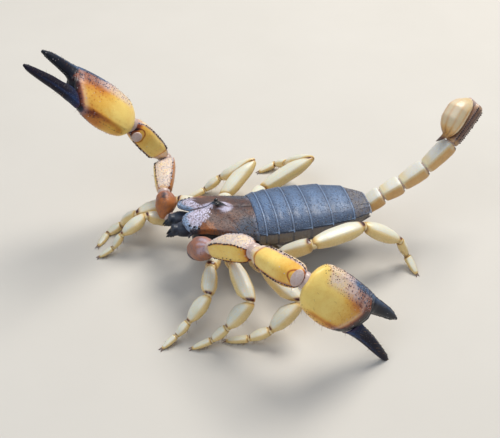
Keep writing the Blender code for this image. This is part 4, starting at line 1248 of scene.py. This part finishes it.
def leg(side, number, joints):
    sign = SIDES[side]
    key = f"{side}_{number}"
    headings, pitches = LEG_POSES[key]
    lengths, depth = LEG_LENGTHS[number], LEG_DEPTHS[number]
    broad = depth * LEG_FLATTEN
    hx, hy, hz = LEG_HIPS[number]
    points, poses = [np.array([hx, sign * hy, hz])], []
    for n in range(5):
        pitch = pitches[n] if n < 4 else math.degrees(math.asin((FOOT_HEIGHT - points[-1][2]) / lengths[4]))
        poses.append(directions(headings[n], pitch))
        points.append(points[-1] + poses[-1][0] * lengths[n])
    random = np.random.default_rng(number * 7 + (3 if side == "left" else 0))

    root_pose = directions(90 * sign, 6)
    root = points[0] - root_pose[0] * TROCHANTER_LEN
    thigh = Skin()
    thigh.tube(Tube(root, root_pose, TROCHANTER_LEN + GAP, stations(1, 1, *TROCHANTER)), 26, 44,
               lambda f, a: (0.42 * bump(f, 0.1, 0.2) + 0.3 * bump(f, 0.9, 0.15) + 0.1, 0.25, 0.15))
    femur = Tube(points[0], poses[0], lengths[0],
                 ((0.02, 0, 0, 0.62, 0.7), (0.12, 0, 0, 0.85, 0.95), (0.35, 0, 0, broad * 0.82, depth * 1.02),
                  (0.7, 0, 0, broad * 0.88, depth * 1.1), (0.93, 0, 0, broad * 0.8, depth * 0.95),
                  (1.0, 0, 0, broad * 0.55, depth * 0.65)), root_pose[0], poses[1][0], form=leg_keels(0.05))
    thigh.tube(femur, 56, 64, leg_paint, (0.3, -0.25))
    thigh.piece(f"leg_{key}_thigh", "leg", "leg_cream", f"leg_{key}_femur")
    shin = Skin()
    shin.tube(Tube(points[1], poses[1], lengths[1], stations(broad, depth, *KNEE), poses[0][0], poses[2][0],
                   form=leg_keels(0.04)), 64, 64, leg_paint, (-0.25, -0.25))
    shin.piece(f"leg_{key}_knee", "leg", "leg_cream", f"leg_{key}_patella")
    foot = Skin()
    for n, shares in enumerate(SHIN_AND_FEET):
        dark_end, bulge, after = (0.8, -0.15, poses[n + 3][0]) if n < 2 else (0.3, 0.1, None)
        part = Tube(points[n + 2], poses[n + 2], lengths[n + 2],
                    [(f, 0, 0, broad * w * 1.1, depth * k) for f, k, w in shares], poses[n + 1][0], after)
        foot.tube(part, 40, 48, lambda f, a: leg_paint(f, a, 0.8, dark_end), (-0.15, bulge))
        for k in range(10 + 5 * n):                                # stout bristles, mostly below
            bristle("leg_cream", part, random.uniform(0.12, 0.95),
                    math.radians(-90 + random.choice((-1, 1)) * random.uniform(15, 75)), 0.03, 0.9,
                    random.uniform(0.45, 0.95), 0.032)
    hooked_claws(foot, points[5], poses[4])
    foot.lift_to_floor()
    foot.piece(f"leg_{key}_tip", "leg", "leg_cream", f"leg_{key}_foot")
    for n, size in ((1, 0.56), (2, 0.5), (3, 0.42), (4, 0.3)):
        sizes = (depth * size * 1.05, broad * size * 1.2, depth * size)
        joints.ball(points[n], poses[n], sizes, 26, 0.2, 0.2)
    joints.ball(points[0], poses[0], (0.8, 0.85, 0.85), 26, 0.2, 0.2)
    joints.ball(root - root_pose[0] * 0.1, root_pose, (0.6, 1.0, 1.0), 26, 0.2, 0.2)


# --- pedipalps ---
FEMUR_GIRTH = ((0.0, 0, 1.0, 1.0), (0.1, 0.1, 1.6, 1.6), (0.4, 0.4, 2.1, 2.2), (0.7, 0.4, 2.3, 2.3),
               (0.93, 0.1, 2.0, 1.8), (1.0, 0, 1.3, 1.1))
PATELLA_GIRTH = ((0.0, 0, 1.1, 0.9), (0.06, 0, 1.5, 1.3), (0.14, 0.05, 1.9, 1.7), (0.4, 0.15, 2.4, 2.3),
                 (0.68, 0.2, 2.5, 2.4), (0.88, 0, 2.2, 2.1), (0.97, 0, 1.6, 1.5), (1.0, 0, 1.2, 1.1))
WRIST_DISC = {"left": (0.93, 140.0), "right": (0.89, -25.0)}   # pale round of joint skin by the wrist
HAND_REACH = FIXED_FINGER[-1][0]
HAND_SQUARE = 2.3
HAND_GRANULES = (          # angle, from and to in millimetres, size, count, wander in degrees
    (14, 1.5, 13.0, 0.09, 17, 2.0), (24, 3.0, 12.6, 0.07, 12, 3.0), (183, 1.2, 13.4, 0.13, 26, 2.0),
    (-40, 1.2, 13.0, 0.08, 18, 3.0), (163, 1.6, 12.2, 0.10, 34, 5.0), (148, 1.8, 12.2, 0.085, 36, 7.0),
    (130, 2.2, 12.0, 0.08, 40, 9.0), (112, 3.0, 11.6, 0.07, 30, 9.0), (96, 6.0, 11.6, 0.06, 14, 8.0),
    (-25, 1.5, 13.0, 0.09, 22, 2.0))


def keeled_box(keels, height, width=4.5):
    def form(f, angle):
        body = step(0.03, 0.16, f) * step(1.0, 0.9, f)
        return 1 + sum(height * ridge(angle, c, width) for c in keels) * body
    return form


def palp_base(side, after):
    """Coxa and the knob of the trochanter; gives the knob's directions."""
    hip, root, start = (np.array(place[side]) for place in (PALP_HIP, PALP_ROOT, PALP_START))
    coxa_axes, reach = aimed(hip, root)
    ball_axes, ball = aimed(root, start)
    stem = Skin()
    shape = stations(1.5, 1.6, (0.0, 0.7), (0.3, 1.0), (0.75, 1.0), (1.0, 0.7))
    stem.tube(Tube(hip, coxa_axes, reach, shape, None, ball_axes[0]), 36, 56,
              lambda f, a: (0.35 + 0.3 * bump(f, 0.95, 0.1), 0.15, 0.4))
    stem.piece(f"palp_{side}_base", "brown", "shell_brown", f"palp_{side}_coxa")
    pale, marked = (0.14, 0.0) if side == "left" else (0.03, 0.55)

    def paint(f, angle):
        # a painted highlight over the knob's upper end, in pale streaks
        cap_highlight = step(0.62, 0.8, f) * step(-0.5, 0.2, np.sin(angle))
        streak = 0.6 + 0.4 * np.sin(angle * 7 + 2 * np.sin(angle * 3) + f * 5)
        mark = marked * bump(turn(angle, 80), 6 * np.sin(f * 40), 16) * bump(f, 0.78, 0.13)
        bloom_and_sheen = pale + 0.6 * cap_highlight * streak * (1 - mark) * (0.3 + 3 * pale)
        return 0.04 + pale / 3 + 0.8 * mark, bloom_and_sheen, 0.15 + 0.3 * cap_highlight

    knob = Skin()
    shape = stations(2.1, 2.2, (0.0, 0.5), (0.14, 0.85), (0.5, 1.08), (0.86, 0.85), (1.0, 0.5))
    knob.tube(Tube(root, ball_axes, ball, shape, coxa_axes[0], after,
                   form=lambda f, a: 1 + 0.03 * np.sin(a * 3 + f * 7) + 0.05 * ridge(a, 90, 14)),
              64, 96, paint, (-0.2, -0.2))
    made = knob.piece(f"palp_{side}_knob", "brown", "shell_brown", f"palp_{side}_trochanter")
    strew(made, "bead_tan", "shell_brown", 3.0, 0.05, 0.11, 41)
    return ball_axes


def palp_arm(side, before, axes, after, random):
    """Femur: pale granular back between two dark toothed keels, yellow in front."""
    keels = (45, 135, 225, 315)
    femur = Tube(PALP_START[side], axes, PALP_FEMUR, [(f, 0, b, w, h) for f, b, w, h in FEMUR_GIRTH],
                 before, after, 2.8, keeled_box(keels, 0.05))
    front, fore, hind, way = (180, 135, 45, 1) if side == "left" else (0, 45, 135, -1)

    def paint(f, angle):
        back = step(46, 38, abs(turn(angle, 90)))
        face = step(44, 34, abs(turn(angle, front)))
        keel = sum(ridge(angle, c, 4) for c in keels)
        under = step(-0.2, -0.7, np.sin(angle))
        ink = 0.4 - 0.36 * back - 0.34 * face * (1 - 0.5 * bump(f, 0.95, 0.08)) + 0.12 * keel
        ink = ink + 0.3 * keel * under
        ink = ink + 0.4 * bump(f, 0.99, 0.03) + 0.2 * bump(f, 0.02, 0.05) + 0.1 * face * step(0.2, 0.0, f)
        bloom_and_sheen = 0.85 * back * step(0.0, 0.08, f) + 0.5 * face * step(0.16, 0.02, f)
        return ink, bloom_and_sheen * (1 - 0.3 * keel), 0.55 * back + 0.2 * keel + 0.08

    arm = Skin()
    arm.tube(femur, 120, 160, paint, (-0.3, -0.3))
    made = arm.piece(f"palp_{side}_arm", "claw", "claw_amber", f"palp_{side}_femur")
    strew(made, "bead_white", "claw_amber", 22.0, 0.05, 0.12, 43)
    for kind, degrees, near, away, size, count, wander in (
            ("bead_dark", fore, 0.1, 0.96, 0.15, 26, 2.5), ("bead_white", hind, 0.06, 0.96, 0.16, 30, 3.0),
            ("bead_dark", hind, 0.06, 0.96, 0.12, 14, 3.0), ("bead_dark", -fore, 0.08, 0.96, 0.11, 30, 1.5),
            ("bead_dark", -hind, 0.08, 0.96, 0.1, 24, 1.5),
            ("bead_dark", fore + 66 * way, 0.3, 0.85, 0.12, 6, 4)):
        teeth(kind, femur, degrees, near, away, size, count, random, wander)
    return femur


def palp_link(side, start, before, axes, after, random):
    """Patella: one wide smooth yellow face between dark toothed keels dusted with white."""
    middle, way = PALP_FACE[side]
    disc_at, disc_angle = WRIST_DISC[side]
    keels = [middle + way * k for k in (-60, 60, 140, 215)]
    patella = Tube(start, axes, PALP_PATELLA, [(f, a * SIDES[side], 0, w, h) for f, a, w, h in PATELLA_GIRTH],
                   before, after, 2.7, keeled_box(keels, 0.055))

    def paint(f, angle):
        face = step(58, 48, abs(turn(angle, middle)))
        keel = sum(ridge(angle, c, 6) for c in keels[:2])
        keel = keel + 0.6 * sum(ridge(angle, c, 5) for c in keels[2:])
        upper = step(0.3, 0.8, np.sin(angle)) * (1 - face)
        socket = step(0.2, 0.14, f + 0.02 * np.sin(angle * 3))
        streak = 0.75 + 0.25 * np.sin(angle * 17 + 2 * np.sin(angle * 5))
        ink = 0.22 - 0.2 * face + 0.35 * keel + 0.4 * step(0.9, 0.97, f) + 0.16 * face * step(0.55, 0.85, f)
        ink = ink * (1 - socket) + 0.05 * socket + 0.4 * bump(f, 0.19, 0.02) - 0.16 * upper
        ring = np.hypot((f - disc_at) * PALP_PATELLA / 1.3, np.radians(turn(angle, disc_angle)) * 2.3 / 1.6)
        bloom_and_sheen = 0.2 * keel + 0.85 * socket * streak + 0.6 * upper
        grain = (0.35 * keel + 0.5 * upper) * (1 - socket) + 0.06
        return ink + 0.4 * bump(ring, 1.04, 0.09), bloom_and_sheen, grain

    link = Skin()
    link.tube(patella, 130, 160, paint, (-0.3, -0.35))
    made = link.piece(f"palp_{side}_link", "claw", "claw_amber", f"palp_{side}_patella")
    strew(made, "bead_white", "claw_amber", 5.0, 0.05, 0.12, 45)
    for n, c in enumerate(keels):
        size, count = (0.15, 34) if n < 2 else (0.1, 24)
        teeth("bead_dark", patella, c, 0.2, 0.96, size, count, random, 2.0)
        teeth("bead_white", patella, c + 3, 0.2, 0.92, 0.11, 16, random, 5.0)
    return patella


def hand_form(reach):
    def form(f, angle):
        """Low keels along the hand, and one shallow furrow."""
        d = f * reach
        hand = step(1, 3, d) * step(13.6, 12.5, d)
        keels = sum(ridge(angle, c, w) for c, w in ((40, 5), (140, 6), (178, 7)))
        k = 1 + 0.02 * hand * keels
        k = k + 0.04 * step(3, 7, d) * ridge(angle, 155, 7)
        k = k - 0.015 * hand * ridge(angle, 120, 12)
        return k + 0.02 * hand * ridge(angle, 90, 7)
    return form


def hand_paint(side, top, aside, far):
    """Marks of the hand from its height round the tube and its place across and along the claw."""
    end = MANUS_LEN + CLAW_SLANT * (HINGE_OFFSET - np.maximum(-0.2, aside))
    left = end - far + (0.0 if side == "left" else 0.9)           # distance before the open end
    outward = step(-1.2, -3.4, aside)
    fingers = step(1.6, -0.5, left) * step(-0.4, -1.6, aside) + step(0.25, -0.1, left)
    fingers = np.clip(fingers + outward * step(2.6, 0.6, left) * 0.6, 0, 1)
    distal = step(5.0, 12.0, far)
    keel_at = -4.3 + 0.12 * np.maximum(0, 7 - far)
    upper_keel = bump(aside, keel_at, 0.6) * step(5.0, 10.5, far) * step(-0.6, 0.0, top)
    upper_third = step(-0.6, -2.4, aside) * step(1.5, 3.2, far)
    lower = step(3.0, 4.6, aside)
    margin = 1.0 if side == "left" else 0.6                        # how wide the dark open margin is
    band = np.interp(left / margin, (0, 0.3, 0.9, 1.9, 2.8), (0.93, 0.88, 0.6, 0.42, 0.0))
    band = band * step(-2.2, 0.2, aside)
    ink = 0.02 + 0.28 * distal * step(1.2, -1.5, aside) + 0.2 * distal + 0.06 * upper_third + band
    ink = ink + 0.12 * lower * distal + 0.5 * upper_keel
    ink = ink + 0.28 * step(-0.2, -0.8, top) + 0.14 * step(4.6, 5.1, abs(aside))
    ink = ink + 0.3 * bump(aside, 4.35, 0.45) * step(1.5, 4.0, far) * step(0.9, 0.5, abs(top))
    bloom_and_sheen = 0.72 * upper_third * step(1.5, 3.5, far) * step(12, 8.0, far) * (1 - fingers) + 0.4 * upper_keel
    bloom_and_sheen = bloom_and_sheen + 0.25 * upper_third * step(8, 10, far) * step(15, 12, far)
    # a painted highlight streak just before the dark open margin
    bloom_and_sheen = bloom_and_sheen + 0.3 * bump(left, 2.9 * margin, 0.5)
    # painted sky reflection on the fixed finger's upper face
    bloom_and_sheen = bloom_and_sheen + 0.45 * fingers * step(-3.0, -3.8, aside) * step(20, 13, far) + 0.04 * fingers
    grain = np.clip(0.7 * upper_third + 0.25 * distal, 0, 1) * step(0.0, 0.5, left)
    return np.maximum(ink, fingers), bloom_and_sheen, grain + 0.3 * fingers * step(-3.0, -4.0, left)


def rows_of_denticles(tube, bite, inner, outer):
    """Fine black denticles along a finger's biting edge, and a few larger ones beside them."""
    bead_row("bead_black", "finger_black", tube.at(bite, math.radians(inner), 0.0), 0.12, 1.8)
    bead_row("bead_black", "finger_black", tube.at(bite[::14], math.radians(outer), 0.03), 0.22, 1.8)


def palp_hand(side, wrist, axes, before, random):
    """Claw: broad hand running out into the black fixed finger, its open end slanting."""
    forward, across, _ = axes
    lean, clear = mitre(forward, before)
    table = [(d / HAND_REACH, (i + o) / 2, 0, (o - i) / 2, h)
             for d, i, o, h in MANUS_OUTLINE + FIXED_FINGER]
    hand = Tube(wrist, axes, HAND_REACH + clear, table, before, None, HAND_SQUARE, hand_form(HAND_REACH))
    hand.slide_0, hand.clear_0, hand.fade_0 = lean, clear, 7.0

    def slanted(d, angle):
        """Points of the hand at distance d, carried forward onto its slanting open end."""
        points = hand.at(d / HAND_REACH, angle)
        slant = CLAW_SLANT * np.clip((d - 8) / 5.3, 0, 1)
        slant = slant * step(FIXED_FINGER[0][0], MANUS_OUTLINE[-1][0], d)
        shift = HINGE_OFFSET - np.maximum(-0.2, (points - wrist) @ across)
        return points + forward * (slant * shift)[..., None]

    d = np.concatenate((np.linspace(0.2, 12.8, 126), np.linspace(12.8, 17.2, 80),
                        np.linspace(17.2, HAND_REACH, 60)))
    angle = around(220)[None, :]
    on_hand = slanted(np.unique(d)[:, None], angle)
    aside, far = ((on_hand - wrist) @ way for way in (across, forward))
    palm = Skin()
    palm.grid(on_hand, *hand_paint(side, np.sin(angle), aside, far), (-0.3, 0.2))
    made = palm.piece(f"palp_{side}_hand", "claw", "claw_amber", f"palp_{side}_manus")
    strew(made, "bead_white", "claw_amber", 4.0, 0.04, 0.1, 47)
    for degrees, near, away, size, count, wander in HAND_GRANULES:
        line = near + (away - near) * (np.arange(count) + random.uniform(0, 1, count)) / count
        angles = np.radians(degrees + random.uniform(-wander, wander, count))
        stipple("bead_red", "claw_amber", slanted(line, angles), size * random.uniform(0.6, 1.3, count))
    bead_row("bead_dark", "claw_amber", slanted(np.linspace(6.5, 22, 150), math.radians(160)), 0.13, 2.0)
    rows_of_denticles(hand, np.linspace(16.6, 22.8, 90) / HAND_REACH, 4, -4)
    return hand, wrist + forward * (MANUS_LEN + GAP + clear) + across * HINGE_OFFSET


def palp_thumb(side, hinge, axes, opening):
    """The black movable finger, turned open about the hinge; its base follows the hand's slant."""
    forward, across, thick = axes
    o = math.radians(opening)
    ahead = forward * math.cos(o) + across * math.sin(o)
    beside = across * math.cos(o) - forward * math.sin(o)
    reach = MOVABLE_FINGER[-1][0]
    shape = [(d / reach, b, 0, w, h) for d, b, w, h in MOVABLE_FINGER]
    finger = Tube(hinge, (ahead, beside, thick), reach, shape, square=2.2,
                  form=keeled_box((45, 135, -45), 0.05, 7))
    f, angle = np.linspace(0, 1, 120)[:, None], around(90)[None, :]
    points = finger.at(f, angle)
    slant = (CLAW_SLANT - math.tan(o)) * np.maximum(0, 1 - f * reach / 4)
    points = points - forward * (slant * ((points - hinge) @ across))[..., None]
    keel = ridge(angle, 45, 12) + 0.7 * ridge(angle, 135, 10)
    thumb = Skin()
    # painted bluish highlight along the keels, fading to the tip
    bloom_and_sheen = 0.05 + 0.4 * keel * (1 - f) + 0.2 * step(0.25, 0.05, f)
    thumb.grid(points, 0.97 - 0.2 * step(0.06, 0.0, f), bloom_and_sheen, 0.75 * step(1.0, 0.3, f), (0.2, 0.15))
    thumb.lift_to_floor()
    made = thumb.piece(f"palp_{side}_thumb", "finger", "finger_black", f"palp_{side}_movable_finger")
    strew(made, "bead_grey", "finger_black", 2.6, 0.03, 0.075, 51)
    rows_of_denticles(finger, np.linspace(0.25, 0.96, 90), 176, 184)
    return finger


def wrist_disc(side, patella, joints):
    """The pale round of joint skin by the wrist, lying flat on the patella."""
    share, degrees = WRIST_DISC[side]
    at = math.radians(degrees)
    lengthwise = unit(patella.at(share + 0.02, at) - patella.at(share - 0.02, at))
    crosswise = unit(patella.at(share, at + 0.05) - patella.at(share, at - 0.05))
    joints.ball(patella.at(share, at), (lengthwise, crosswise, np.cross(lengthwise, crosswise)),
                (1.05, 1.6 if side == "left" else 1.15, 0.42), 40, 0.2, 0.2)


def palp(side, joints):
    femur_axes, patella_axes, claw_axes = (directions(*pose) for pose in PALP_POSES[side][:3])
    forward, across, thick = claw_axes[0], claw_axes[1] * SIDES[side], claw_axes[2]
    random = np.random.default_rng(5 if side == "left" else 6)
    ball_axes = palp_base(side, femur_axes[0])
    femur = palp_arm(side, ball_axes[0], femur_axes, patella_axes[0], random)
    patella = palp_link(side, femur.end, femur_axes[0], patella_axes, forward, random)
    hand, hinge = palp_hand(side, patella.end, (forward, across, thick), patella_axes[0], random)
    finger = palp_thumb(side, hinge, (forward, across, thick), PALP_POSES[side][3])
    for place, axes, sizes, columns in (
            (PALP_ROOT[side], ball_axes, (1.0, 1.25, 1.3), 34),
            (femur.start, femur_axes, (1.05, 1.3, 1.25), 34),
            (patella.start, patella_axes, (1.3, 1.65, 1.5), 40),
            (hand.start, claw_axes, (1.2, 1.6, 1.5), 40)):
        joints.ball(place, axes, sizes, columns, 0.2, 0.2)
    wrist_disc(side, patella, joints)
    slope = unit(across - forward * CLAW_SLANT)
    joints.ball(hinge - forward * 0.15, (np.cross(slope, thick), slope, thick), (0.4, 1.6, 0.95), 34, 0.75)
    hand.form = hand_form(MOVABLE_FINGER[-1][0])       # its bristles' roots follow keels of this reach
    for tube, high, count, slot in ((hand, 0.98, 60, "claw_amber"), (finger, 0.97, 34, "finger_black"),
                                    (patella, 0.9, 22, "claw_amber"), (femur, 0.9, 16, "claw_amber")):
        for _ in range(count):
            bristle(slot, tube, random.uniform(0.1, high), random.uniform(0, 2 * math.pi), 0.04, 0.5,
                    random.uniform(0.5, 1.1), 0.028)


# --- bristles ---
BRISTLE_RINGS, BRISTLE_SIDES = 5, 3


def grow_bristles():
    """Sensory bristles as bent three-sided cones; OFBake gives each a patch at its root's place."""
    per = BRISTLE_SIDES * BRISTLE_RINGS + 1
    a = np.arange(BRISTLE_SIDES) * 2 * math.pi / BRISTLE_SIDES
    for slot, hairs in BRISTLES.items():
        points, quads, tris = [], [], []
        for n, (root, way, length, size) in enumerate(hairs):
            sideways = unit(np.cross(way, [0.31, 0.42, 0.85]))
            ring = sideways * np.cos(a)[:, None] + np.cross(sideways, way) * np.sin(a)[:, None]
            droop = np.array([0, 0, -0.18]) * length
            for k in np.linspace(0, 1, BRISTLE_RINGS + 1)[:-1]:
                points.append(root + way * length * k + droop * k * k + ring * size * (1 - k) ** 0.7)
            points.append((root + way * length + droop)[None])
            base = n * per
            sides = [(s, (s + 1) % BRISTLE_SIDES) for s in range(BRISTLE_SIDES)]
            for first in range(base, base + per - 1 - BRISTLE_SIDES, BRISTLE_SIDES):
                quads += [(first + i, first + j, first + j + BRISTLE_SIDES, first + i + BRISTLE_SIDES)
                          for i, j in sides]
            tip = base + per - 1
            tris += [(tip - BRISTLE_SIDES + i, tip - BRISTLE_SIDES + j, tip) for i, j in sides]
            tris.append((base + 2, base + 1, base))
        points = np.vstack(points)
        points[:, 2] = np.maximum(points[:, 2], 0.01)
        made = mesh_piece(f"bristles_{slot}", points, np.array(quads), np.array(tris), MATERIALS["bristle"])
        roots = np.array([hair[0] for hair in hairs])
        low, high = roots.min(0), roots.max(0)
        place = (roots - low) / (high - low + 1e-9) * 0.96 + 0.02
        vertex = np.empty(len(made.data.loops), np.int32)
        made.data.loops.foreach_get("vertex_index", vertex)
        owner, local = vertex // per, vertex % per
        corner = np.stack((local % BRISTLE_SIDES, local // BRISTLE_SIDES), -1)
        uv = place[owner][:, :2] + corner * (0.003 / (BRISTLE_RINGS + 1))
        made.data.uv_layers.new(name="OFBake").data.foreach_set("uv", uv.astype(np.float32).ravel())
        settle(made, slot)


# --- the animal ---
def build():
    for make in (carapace, eyes, tergites, flanks, sternites, underside, pectines, chelicerae):
        make()
    telson(*tail())
    leg_joints, palp_joints = Skin(), Skin()
    for side in SIDES:
        for number in (1, 2, 3, 4):
            leg(side, number, leg_joints)
        palp(side, palp_joints)
    leg_joints.lift_to_floor()
    leg_joints.piece("leg_joint_skin", "leg", "leg_cream")
    palp_joints.piece("palp_joint_skin", "membrane", "claw_amber")
    plant_beads()
    grow_bristles()


# --- where it is seen ---
FLOOR_REACH = 3.0         # metres
CAMERA_PLACE = (-37.07255, -144.55631, 130.62801)      # millimetres along the animal
CAMERA_HEADING = 14.0     # degrees
CAMERA_HEIGHT = 39.0      # degrees above the floor from which it looks down
LIGHTS = (                # name, place in metres, size, power, colour
    ("key", (0.22, 0.20, 0.50), 0.30, 3.4, (1.0, 0.95, 0.87)),
    ("fill", (-0.35, -0.25, 0.55), 0.5, 1.6, (0.88, 0.94, 1.0)))


def floor():
    """A wide level studio floor in two close pale tones."""
    material, t, _, (cloud, _) = new_material("studio_floor", 35.0)
    tone = t.mix(t.math("ADD", cloud, 0.5, clamp=True), (0.60, 0.575, 0.53, 1.0), (0.65, 0.625, 0.58, 1.0))
    mesh = bpy.data.meshes.new("studio_floor")
    corners = [(x * FLOOR_REACH, y * FLOOR_REACH, 0) for x, y in ((-1, -1), (1, -1), (1, 1), (-1, 1))]
    mesh.from_pydata(corners, [], [(0, 1, 2, 3)])
    mesh.materials.append(finished(material, {"Base Color": tone}, {"Roughness": 0.85}))
    new_object("studio_floor", mesh)


def lights():
    world = bpy.data.worlds.new("soft_sky")
    bpy.context.scene.world = world
    world.use_nodes = True
    sky = world.node_tree.nodes["Background"]
    sky.inputs[0].default_value = (0.78, 0.86, 1.0, 1.0)
    sky.inputs[1].default_value = 0.30
    for name, place, size, power, colour in LIGHTS:
        lamp = bpy.data.lights.new(name, "AREA")
        lamp.energy, lamp.size, lamp.color = power, size, colour
        made = new_object(name, lamp)
        made.location = place
        made.rotation_euler = (-Vector(place)).to_track_quat("-Z", "Y").to_euler()


def camera():
    lens = bpy.data.cameras.new("camera")
    lens.lens, lens.sensor_width = 68.4, 36.0
    lens.clip_start, lens.clip_end = 0.01, 20.0
    made = new_object("camera", lens)
    turned = Euler((math.radians(90 - CAMERA_HEIGHT), 0.0, math.radians(-CAMERA_HEADING)))
    made.matrix_world = Matrix.LocRotScale(Vector(to_frame(CAMERA_PLACE)), turned, None)
    bpy.context.scene.camera = made


bpy.context.scene.view_settings.view_transform = "Standard"
build()
floor()
lights()
camera()
